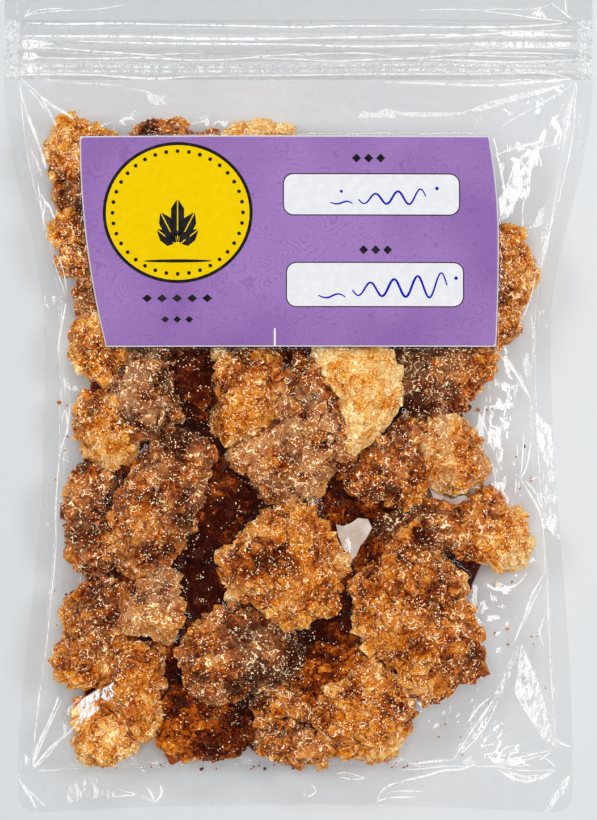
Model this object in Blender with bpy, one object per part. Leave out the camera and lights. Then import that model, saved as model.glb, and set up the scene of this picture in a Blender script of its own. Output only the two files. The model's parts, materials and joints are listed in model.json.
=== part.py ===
"""A clear zip pouch full of amber rock candy lumps, lying on its back with a printed label on the front.

Metres, +Z up. The pouch lies along Y with its zip towards +Y. Its back rests flat on z = 0 and its
front is up. The origin is under the middle of the pouch, on the surface that it lies on.

The pouch and the candy in it are one closed body: the film is pulled over the lumps, so that they
show as humps with valleys between them. The zip's two halves and the label are bodies of their own.
"""

import math
import random

import bmesh
import bpy
import numpy as np
from mathutils import Vector, noise

MM = 0.001

# The pouch laid flat, with its sides drawn in where the candy fills it
POUCH_LENGTH = 251.6 * MM
ZIP_HALF_WIDTH = 87.2 * MM
LEFT_WAIST, RIGHT_WAIST = 75.2 * MM, 74.6 * MM
LEFT_BASE, RIGHT_BASE = 83.2 * MM, 81.3 * MM
LEFT_FLARE, RIGHT_FLARE = 1.5, 1.0
WAIST_Y = 16 * MM
SHOULDER_Y = 91 * MM
HEM_Y = -115 * MM
CORNER_RADIUS = 5.5 * MM
BASE_RISE = 2.4 * MM

# Seals, and the film where two layers lie together
SIDE_SEAL = 5.2 * MM
BASE_SEAL = 12.6 * MM
SEAL_THICKNESS = 0.8 * MM
SEAM_AT_BASE, SEAM_AT_SIDES, SEAM_AT_ZIP = 3.0 * MM, 5.6 * MM, 3.0 * MM
SEAM_RISE_LENGTH, SEAM_FALL_LENGTH = 50 * MM, 51 * MM
UNDERSIDE_RAMP = 15 * MM
LABEL_MARGIN = 1.5 * MM
BASE_FOLD_FREE = 6 * MM
FILM_CLEARANCE = 0.9 * MM
# 1 where the film hangs into the valleys between the lumps, and 0 where it spans them
CLING = 0.6

# Zip: a tape with two low ribs and one thick closing profile, on each face of the header
ZIP_Y = 100.6 * MM
ZIP_HALF_LENGTH = 81.5 * MM
ZIP_TAPE_WIDTH, ZIP_TAPE_THICKNESS = 17.0 * MM, 0.3 * MM
ZIP_GAP = 0.3 * MM
RIB_PLACES = (7.4 * MM, 3.8 * MM, 1.6 * MM)
RIB_WIDTH, RIB_HEIGHT = 1.2 * MM, 0.8 * MM
PROFILE_PLACE, PROFILE_WIDTH, PROFILE_HEIGHT = -5.6 * MM, 3.6 * MM, 1.1 * MM

# Label, a stiff printed card stuck on the front
LABEL_BOTTOM, LABEL_TOP = 12.2 * MM, 74.0 * MM
LABEL_LEFT, LABEL_RIGHT = -64.2 * MM, 58.8 * MM
LABEL_THICKNESS = 0.3 * MM
LABEL_GAP = 0.3 * MM
LABEL_HEIGHT = 19.6 * MM
LABEL_BOW, BOW_MIDDLE, BOW_HALF = 3.4 * MM, -3 * MM, 62 * MM
LABEL_CURL, CURL_START, CURL_WIDTH, CURL_DEPTH = 2.6 * MM, -20 * MM, 45 * MM, 38 * MM
LABEL_RIPPLE, RIPPLE_ACROSS, RIPPLE_ALONG = 0.35 * MM, 17 * MM, 26 * MM
# How far its corners are drawn in by the bend: both on the left at its foot, and on the right
LEFT_DRAWN_IN, TOP_DRAWN_IN, FOOT_DRAWN_IN = 7.6 * MM, 2.9 * MM, 0.8 * MM

# Grids that the surfaces are made on, before flat places are simplified
ACROSS, ALONG = 96, 138
PULLS, SLACK_PULLS = 800, 26
KEPT_SHARE = 0.21
LABEL_ACROSS, LABEL_ALONG = 22, 9

# Lumps in millimetres and degrees: x, y, length, width, turn, lowest and highest point
LUMPS = (
    # Left edge beside the label
    (-61, 66, 30, 24, 80, 0, 16.0),
    (-64, 48, 20, 17, 20, 0, 13.0),
    (-61, 33, 25, 21, 100, 0, 14.5),
    (-59, 19, 19, 14, 70, 0, 11.5),
    # Showing over the label's top edge
    (-37, 70, 28, 20, 0, 0, 15.0),
    (-11, 69, 25, 19, 8, 0, 14.5),
    # Right edge beside the label
    (57, 37, 31, 27, 100, 0, 15.0),
    (55, 17, 22, 22, 60, 0, 14.0),
    # First row under the label
    (-57, 9, 22, 18, 70, 0, 14.5),
    (-56, -12, 25, 20, 110, 0, 15.0),
    (-44, -3, 27, 22, 130, 0, 16.5),
    (-31, 3, 25, 21, 80, 0, 13.5),
    (-13, -3, 32, 25, 100, 3, 18.5),
    (6, -8, 31, 21, 75, 4, 18.0),
    (18, -5, 33, 27, 75, 7, 19.0),
    (42, 3, 33, 24, 170, 0, 15.5),
    (-8, -26, 31, 22, 150, 3, 18.5),
    (25, -24, 29, 25, 140, 2, 17.5),
    (46, -20, 26, 21, 80, 0, 16.0),
    # Middle
    (-60, -38, 32, 20, 100, 0, 14.5),
    (-41, -33, 44, 32, 65, 2, 19.5),
    (-20, -36, 30, 24, 120, 0, 13.5),
    (20, -34, 26, 14, 160, 0, 9.0),
    (45, -43, 50, 21, 166, 0, 15.0),
    (-4, -53, 39, 36, 20, 6, 20.5),
    (-27, -61, 28, 25, 100, 0, 12.0),
    (15, -63, 28, 18, 80, 0, 11.0),
    (31, -63, 45, 34, 105, 3, 20.0),
    (44, -79, 28, 26, 120, 0, 17.0),
    # Bottom
    (-60, -71, 35, 23, 75, 0, 15.5),
    (-43, -64, 25, 18, 80, 5, 18.0),
    (-16, -82, 40, 27, 15, 4, 19.5),
    (-27, -98, 28, 26, 160, 0, 14.5),
    (-46, -87, 27, 23, 50, 0, 16.0),
    (-57, -100, 24, 22, 100, 0, 15.0),
    (2, -92, 28, 20, 60, 0, 12.5),
    (-2, -103, 28, 17, 5, 0, 14.0),
    (17, -94, 34, 31, 130, 2, 18.0),
)
LUMP_SQUARENESS = 2.4
WIDEST_AT = 0.42
CRAG_SIZE, CRAG_HEIGHT = 7.5 * MM, 1.2 * MM
FINE_CRAGS, FINE_SHARE = 1.9, 0.6

# Lumps that the label hides, in rows: the rows' y, and the first and last x in each, all in millimetres
HIDDEN_ROWS = ((62, 14, 40), (43, -36, 28), (22, -36, 36))
HIDDEN_SPACING = 25
HIDDEN_JITTER = 2
HIDDEN_LENGTHS, HIDDEN_NARROWING = (26, 31), 0.82
HIDDEN_HEIGHTS = (14.5, 16.5)
HIDDEN_SEED = 5

# Folds in the film, in millimetres: from x, y, to x, y, half width and height
FOLDS = (
    (-81, 91, -63, 74, 3.0, 1.4),
    (-81, 90, -72, 55, 3.0, 1.2),
    (-80, 89, -40, 83, 3.5, 1.3),
    (-76, 52, -69, 26, 2.8, 1.1),
    (-69, 26, -72, 8, 2.8, 1.2),
    (-71, 6, -66, -9, 2.8, 0.9),
    (81, 91, 56, 78, 3.5, 1.6),
    (81, 89, 64, 56, 3.2, 1.4),
    (52, 80, 28, 81, 3.0, 1.1),
    (74, 50, 70, 18, 3.0, 1.1),
    (60, 10, 72, -12, 3.0, 1.4),
    (69, -8, 66, -27, 2.8, 1.0),
    (66, -27, 74, -42, 2.8, 1.2),
    (73, -44, 66, -68, 3.2, 1.5),
    (66, -68, 48, -108, 3.2, 1.6),
    (66, -74, 76, -106, 3.6, 1.6),
    (-78, -112, -62, -92, 3.4, 1.6),
    (-78, -112, -70, -86, 2.8, 1.2),
)

# Colours of the real surfaces. Candy shows through the film from this far above the seam.
CANDY_ABOVE_SEAM = 4.5 * MM
FILM_COLOUR = (0.86, 0.87, 0.88, 1.0)
CANDY_COLOUR = (0.62, 0.27, 0.07, 1.0)
LABEL_COLOUR = (0.42, 0.24, 0.58, 1.0)


def eased(share):
    """0 to 1 with level ends, from a share that may run past both."""
    share = np.clip(share, 0.0, 1.0)
    return 0.5 - 0.5 * np.cos(np.pi * share)


def half_width(y, waist, base, flare):
    """How far one side of the pouch stands from its middle line at y."""
    above = waist + (ZIP_HALF_WIDTH - waist) * eased((y - WAIST_Y) / (SHOULDER_Y - WAIST_Y))
    down = np.clip((WAIST_Y - y) / (WAIST_Y - HEM_Y), 0.0, 1.0)
    below = waist + (base - waist) * eased(down**flare)
    side = np.where(y > WAIST_Y, above, below)
    from_corner = np.clip(y + POUCH_LENGTH / 2, 0.0, CORNER_RADIUS)
    rounding = CORNER_RADIUS - np.sqrt(CORNER_RADIUS**2 - (CORNER_RADIUS - from_corner) ** 2)
    return side - rounding


def sides(y):
    """x of the pouch's left and right edge at y."""
    return (
        -half_width(y, LEFT_WAIST, LEFT_BASE, LEFT_FLARE),
        half_width(y, RIGHT_WAIST, RIGHT_BASE, RIGHT_FLARE),
    )


def pouch_grid():
    """x and y of a grid that covers the pouch from side to side and end to end."""
    across = np.linspace(0.0, 1.0, ACROSS + 1)[:, None]
    y = np.linspace(-POUCH_LENGTH / 2, POUCH_LENGTH / 2, ALONG + 1)[None, :]
    left, right = sides(y)
    x = left + (right - left) * across
    rise = BASE_RISE * (1 - (2 * across - 1) ** 2) * (1 - eased((y - y[0, 0]) / (2 * BASE_SEAL)))
    return x, y + rise


def seam_height(y):
    """Height of the sealed edges' middle above the surface that the pouch lies on."""
    up = eased((y - HEM_Y) / SEAM_RISE_LENGTH)
    down = eased((y - SHOULDER_Y + SEAM_FALL_LENGTH) / SEAM_FALL_LENGTH)
    low = SEAM_AT_BASE + (SEAM_AT_SIDES - SEAM_AT_BASE) * up
    return low + (SEAM_AT_ZIP - low) * down


def label_edges(y):
    """x of the label's left and right edge at y. Its bottom left corner curls down and away."""
    up = np.clip((y - LABEL_BOTTOM) / (LABEL_TOP - LABEL_BOTTOM), 0.0, 1.0)
    left = LABEL_LEFT + LEFT_DRAWN_IN * (1 - up) ** 2
    drawn_in = np.where(up > 0.5, TOP_DRAWN_IN, FOOT_DRAWN_IN)
    return left, LABEL_RIGHT - drawn_in * (2 * up - 1) ** 2


def label_height(x, y):
    """Height of the label's underside: bowed over the heap, with its lower left corner lower."""
    bow = LABEL_BOW * ((x - BOW_MIDDLE) / BOW_HALF) ** 2
    curl = eased((CURL_START - x) / CURL_WIDTH) * eased((LABEL_BOTTOM + CURL_DEPTH - y) / CURL_DEPTH)
    ripple = LABEL_RIPPLE * np.sin(x / RIPPLE_ACROSS) * np.cos(y / RIPPLE_ALONG)
    return LABEL_HEIGHT - bow - LABEL_CURL * curl + ripple


def hidden_lumps():
    """Lumps like the others, in rough rows under the label."""
    draw = random.Random(HIDDEN_SEED)
    lumps = []
    for row_y, first_x, last_x in HIDDEN_ROWS:
        count = round((last_x - first_x) / HIDDEN_SPACING) + 1
        for place in np.linspace(first_x, last_x, count):
            x = place + draw.uniform(-HIDDEN_JITTER, HIDDEN_JITTER)
            y = row_y + draw.uniform(-HIDDEN_JITTER, HIDDEN_JITTER)
            length = draw.uniform(*HIDDEN_LENGTHS)
            width = length * HIDDEN_NARROWING
            lumps.append((x, y, length, width, draw.uniform(0, 180), 0, draw.uniform(*HIDDEN_HEIGHTS)))
    return lumps


def crags(x, y):
    """Uneven height that the crystals give to the lumps."""
    height = np.zeros(x.shape)
    for place in np.ndindex(x.shape):
        spot = Vector((x[place] / CRAG_SIZE, y[place] / CRAG_SIZE, 0.0))
        height[place] = noise.noise(spot) + FINE_SHARE * noise.noise(spot * FINE_CRAGS)
    return CRAG_HEIGHT * height


def heap_top(x, y):
    """Highest candy over each point, and 0 where there is none."""
    top = np.zeros(x.shape)
    for centre_x, centre_y, length, width, turn, low, high in (*LUMPS, *hidden_lumps()):
        angle = math.radians(turn)
        along = (x / MM - centre_x) * math.cos(angle) + (y / MM - centre_y) * math.sin(angle)
        aside = (y / MM - centre_y) * math.cos(angle) - (x / MM - centre_x) * math.sin(angle)
        out = np.hypot(2 * along / length, 2 * aside / width)
        dome = np.clip(1 - out**LUMP_SQUARENESS, 0.0, None) ** (1 / LUMP_SQUARENESS)
        widest = low + (high - low) * WIDEST_AT
        lump = np.where(out < 1, (widest + (high - widest) * dome) * MM, 0.0)
        top = np.maximum(top, lump)
    return np.where(top > 0, top + crags(x, y) + FILM_CLEARANCE, 0.0)


def pulled(height, held, under, pulls):
    """The film drawn tight: each free point goes to its neighbours' mean, but not below what is under it."""
    film = np.where(held, height, np.maximum(height, under))
    for _ in range(pulls):
        mean = film.copy()
        mean[1:-1, 1:-1] = (film[:-2, 1:-1] + film[2:, 1:-1] + film[1:-1, :-2] + film[1:-1, 2:]) / 4
        film = np.where(held, film, np.maximum(mean, under))
    return film


def fold_height(x, y):
    """Tent-shaped ridges along the folds, which fade at both ends."""
    height = np.zeros(x.shape)
    for x0, y0, x1, y1, half, tall in FOLDS:
        run = np.array([x1 - x0, y1 - y0], float)
        share = ((x / MM - x0) * run[0] + (y / MM - y0) * run[1]) / (run @ run)
        on_line = np.clip(share, 0.0, 1.0)
        away = np.hypot(x / MM - x0 - on_line * run[0], y / MM - y0 - on_line * run[1])
        ridge = tall * MM * np.clip(1 - away / half, 0.0, None) * np.sin(np.pi * on_line) ** 0.5
        height = np.maximum(height, ridge)
    return height


def under_label(x, y):
    """Where the film lies against the label, which is a little more than the label covers."""
    left, right = label_edges(y)
    beside = (x > left - LABEL_MARGIN) & (x < right + LABEL_MARGIN)
    return beside & (y > LABEL_BOTTOM - LABEL_MARGIN) & (y < LABEL_TOP + LABEL_MARGIN)


def film_heights(x, y):
    """Heights of the pouch's front and back over the grid."""
    left, right = sides(y)
    seam = seam_height(y)
    from_side = np.minimum(x - left, right - x)
    from_base = y - y[:, :1]
    sealed = (from_side < SIDE_SEAL) | (from_base < BASE_SEAL) | (y > SHOULDER_Y)
    carded = under_label(x, y)
    start = np.where(carded, label_height(x, y) - LABEL_GAP, seam + SEAL_THICKNESS / 2)
    heap = heap_top(x, y)
    taut = pulled(start, sealed | carded, heap, PULLS)
    slack = pulled(np.where(heap > 0, heap, taut), sealed | carded, heap, SLACK_PULLS)
    slack = np.where(sealed | carded, start, slack)
    front = taut + CLING * (np.minimum(slack, taut) - taut)
    room = eased(from_side / SIDE_SEAL - 1) * eased((from_base - BASE_SEAL) / BASE_FOLD_FREE)
    front += np.where(carded | sealed, 0.0, fold_height(x, y) * room)
    inward = np.minimum(from_side - SIDE_SEAL, np.minimum(from_base - BASE_SEAL, SHOULDER_Y - y))
    back = (seam - SEAL_THICKNESS / 2) * (1 - eased(inward / UNDERSIDE_RAMP))
    return front, np.maximum(back, 0.0)


def plain_material(name, colour, roughness):
    """A Principled surface of one colour."""
    material = bpy.data.materials.new(name)
    material.use_nodes = True
    shader = material.node_tree.nodes["Principled BSDF"]
    shader.inputs["Base Color"].default_value = colour
    shader.inputs["Roughness"].default_value = roughness
    material.diffuse_color = colour
    return material


def thick_sheet(name, x, y, top, bottom, materials, collection):
    """A closed body between two surfaces on one grid: a flat grid of faces is given thickness and moved."""
    across, along = x.shape[0] - 1, x.shape[1] - 1
    shape = bmesh.new()
    bmesh.ops.create_grid(shape, x_segments=across, y_segments=along, size=1.0)
    grown = bmesh.ops.extrude_face_region(shape, geom=shape.faces[:])
    upper = {v for v in grown["geom"] if isinstance(v, bmesh.types.BMVert)}
    for vertex in shape.verts:
        i = round((vertex.co.x + 1) / 2 * across)
        j = round((vertex.co.y + 1) / 2 * along)
        height = top[i, j] if vertex in upper else bottom[i, j]
        vertex.co = (x[i, j], y[i, j], height)
    bmesh.ops.recalc_face_normals(shape, faces=shape.faces)
    mesh = bpy.data.meshes.new(name)
    shape.to_mesh(mesh)
    shape.free()
    for material in materials:
        mesh.materials.append(material)
    thing = bpy.data.objects.new(name, mesh)
    collection.objects.link(thing)
    return thing


def make_pouch(collection):
    """The filled pouch, its seals and its header."""
    x, y = pouch_grid()
    front, back = film_heights(x, y)
    film = plain_material("Clear film", FILM_COLOUR, 0.12)
    candy = plain_material("Amber candy", CANDY_COLOUR, 0.3)
    pouch = thick_sheet("pouch", x, y, front, back, (film, candy), collection)
    for face in pouch.data.polygons:
        face.material_index = int(face.center.z > seam_height(face.center.y) + CANDY_ABOVE_SEAM)
    fewer = pouch.modifiers.new("Flat places simplified", "DECIMATE")
    fewer.ratio = KEPT_SHARE
    fewer.use_collapse_triangulate = True
    return pouch


def make_label(collection):
    """The card on the front, bent as the heap under it."""
    y = np.linspace(LABEL_BOTTOM, LABEL_TOP, LABEL_ALONG + 1)[None, :]
    left, right = label_edges(y)
    x = left + (right - left) * np.linspace(0.0, 1.0, LABEL_ACROSS + 1)[:, None]
    y = np.broadcast_to(y, x.shape)
    under = label_height(x, y)
    card = plain_material("Printed card", LABEL_COLOUR, 0.35)
    return thick_sheet("label", x, y, under + LABEL_THICKNESS, under, (card,), collection)


def zip_section():
    """Outline of one half of the zip, as (y, height) from the tape's middle and its foot."""
    bumps = [(place, RIB_WIDTH, RIB_HEIGHT) for place in RIB_PLACES]
    bumps.append((PROFILE_PLACE, PROFILE_WIDTH, PROFILE_HEIGHT))
    points = [(-ZIP_TAPE_WIDTH / 2, 0.0), (ZIP_TAPE_WIDTH / 2, 0.0), (ZIP_TAPE_WIDTH / 2, ZIP_TAPE_THICKNESS)]
    for place, width, tall in bumps:
        points.append((place + width / 2, ZIP_TAPE_THICKNESS))
        points.append((place + width / 3, tall))
        points.append((place - width / 3, tall))
        points.append((place - width / 2, ZIP_TAPE_THICKNESS))
    points.append((-ZIP_TAPE_WIDTH / 2, ZIP_TAPE_THICKNESS))
    return points


def make_zip_half(name, side, film, collection):
    """Half of the zip, an outline drawn out across the pouch. side is 1 on the front and -1 on the back."""
    outline = bpy.data.curves.new(name, "CURVE")
    outline.dimensions = "2D"
    outline.fill_mode = "BOTH"
    outline.extrude = ZIP_HALF_LENGTH
    points = zip_section()
    spline = outline.splines.new("POLY")
    spline.points.add(len(points) - 1)
    for point, (across, height) in zip(spline.points, points):
        point.co = (across, side * height, 0.0, 1.0)
    spline.use_cyclic_u = True
    outline.materials.append(film)
    half = bpy.data.objects.new(name, outline)
    half.location = (0.0, ZIP_Y, SEAM_AT_ZIP + side * (SEAL_THICKNESS / 2 + ZIP_GAP))
    half.rotation_euler = (math.pi / 2, 0.0, math.pi / 2)
    collection.objects.link(half)
    return half


def main():
    for old in list(bpy.data.objects):
        bpy.data.objects.remove(old)
    pack = bpy.data.collections.new("rock_candy_pouch")
    bpy.context.scene.collection.children.link(pack)
    make_pouch(pack)
    make_label(pack)
    film = plain_material("Zip plastic", FILM_COLOUR, 0.2)
    make_zip_half("zip_front", 1, film, pack)
    make_zip_half("zip_back", -1, film, pack)


main()
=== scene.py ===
"""The looks of a clear zip pouch of amber rock candy, lying on its back with a printed label on the front.

Metres, +Z up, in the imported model's frame: X runs across the pouch, Y from its hem to its zip.
The lumps are made first, as rough cores with crystals grown on them. The film is then drawn over the
lumps and between the seals, so that it touches their tips and hangs into the valleys between them.
"""

import json
import math
import random

import bmesh
import bpy
import numpy as np
from mathutils import Matrix, Quaternion, Vector, noise
from mathutils.bvhtree import BVHTree

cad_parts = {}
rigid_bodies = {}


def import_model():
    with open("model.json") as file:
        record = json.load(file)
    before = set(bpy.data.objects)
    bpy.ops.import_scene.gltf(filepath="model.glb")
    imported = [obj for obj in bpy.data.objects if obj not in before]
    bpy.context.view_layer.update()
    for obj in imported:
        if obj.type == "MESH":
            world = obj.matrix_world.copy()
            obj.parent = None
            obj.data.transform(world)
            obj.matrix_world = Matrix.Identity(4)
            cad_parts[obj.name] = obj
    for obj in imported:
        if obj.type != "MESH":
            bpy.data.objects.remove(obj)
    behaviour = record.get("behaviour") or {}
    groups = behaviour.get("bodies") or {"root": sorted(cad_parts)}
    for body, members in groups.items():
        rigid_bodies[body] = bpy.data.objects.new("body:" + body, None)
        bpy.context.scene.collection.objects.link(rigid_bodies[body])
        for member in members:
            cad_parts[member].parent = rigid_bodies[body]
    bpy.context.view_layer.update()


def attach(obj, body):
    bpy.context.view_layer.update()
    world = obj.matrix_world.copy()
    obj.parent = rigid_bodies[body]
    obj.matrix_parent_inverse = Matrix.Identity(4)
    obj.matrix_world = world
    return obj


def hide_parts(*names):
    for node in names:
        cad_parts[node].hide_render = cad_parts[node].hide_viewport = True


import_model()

MM = 0.001

# The photograph's frame: its size, what one pixel measures on the table, and the pixel over the origin
PHOTO_SIZE = (597, 820)
PIXEL = 0.295 * MM
ORIGIN_PIXEL = (298.5, 388.5)

# The pouch laid flat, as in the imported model
POUCH_LENGTH = 251.6 * MM
ZIP_HALF_WIDTH = 87.2 * MM
LEFT_WAIST, RIGHT_WAIST = 75.2 * MM, 74.6 * MM
LEFT_BASE, RIGHT_BASE = 83.2 * MM, 81.3 * MM
LEFT_FLARE, RIGHT_FLARE = 1.5, 1.0
WAIST_Y = 16 * MM
SHOULDER_Y = 91 * MM
HEM_Y = -115 * MM
CORNER_RADIUS = 5.5 * MM
BASE_RISE = 2.4 * MM
SIDE_SEAL = 5.2 * MM
BASE_SEAL = 12.6 * MM
SEAM_AT_BASE, SEAM_AT_SIDES, SEAM_AT_ZIP = 3.0 * MM, 5.6 * MM, 3.0 * MM
SEAM_RISE_LENGTH, SEAM_FALL_LENGTH = 50 * MM, 51 * MM
UNDERSIDE_RAMP = 15 * MM
RAY_HEIGHT = 50 * MM

# The label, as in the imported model
LABEL_BOTTOM, LABEL_TOP = 12.2 * MM, 74.0 * MM
LABEL_LEFT, LABEL_RIGHT = -64.2 * MM, 58.8 * MM
LABEL_THICKNESS = 0.3 * MM
LABEL_HEIGHT = 19.6 * MM
LABEL_BOW, BOW_MIDDLE, BOW_HALF = 3.4 * MM, -3 * MM, 62 * MM
LABEL_CURL, CURL_START, CURL_WIDTH, CURL_DEPTH = 2.6 * MM, -20 * MM, 45 * MM, 38 * MM
LABEL_RIPPLE, RIPPLE_ACROSS, RIPPLE_ALONG = 0.35 * MM, 17 * MM, 26 * MM
LEFT_DRAWN_IN, TOP_DRAWN_IN, FOOT_DRAWN_IN = 7.6 * MM, 2.9 * MM, 0.8 * MM

# Film: layers in a seal, its clearance to the candy, and the grids that it is made on
SEAL_GAP = 0.25 * MM
FILM_CLEARANCE = 0.25 * MM
CLING = 0.55
FILM_ACROSS, FILM_ALONG = 250, 330
BACK_ACROSS, BACK_ALONG = 120, 170
COARSE_STEP = 3
COARSE_PULLS, FINE_PULLS, SLACK_PULLS, BACK_PULLS = 1500, 220, 70, 400
BACK_HEIGHT = 0.05 * MM
LABEL_MARGIN, LABEL_REST = 1.2 * MM, 0.25 * MM
LABEL_REACH = 10 * MM
RIDGE_CELL = 0.6 * MM
REST_REACH = 15 * MM
LOOSE_EDGE = 3 * MM

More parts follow.
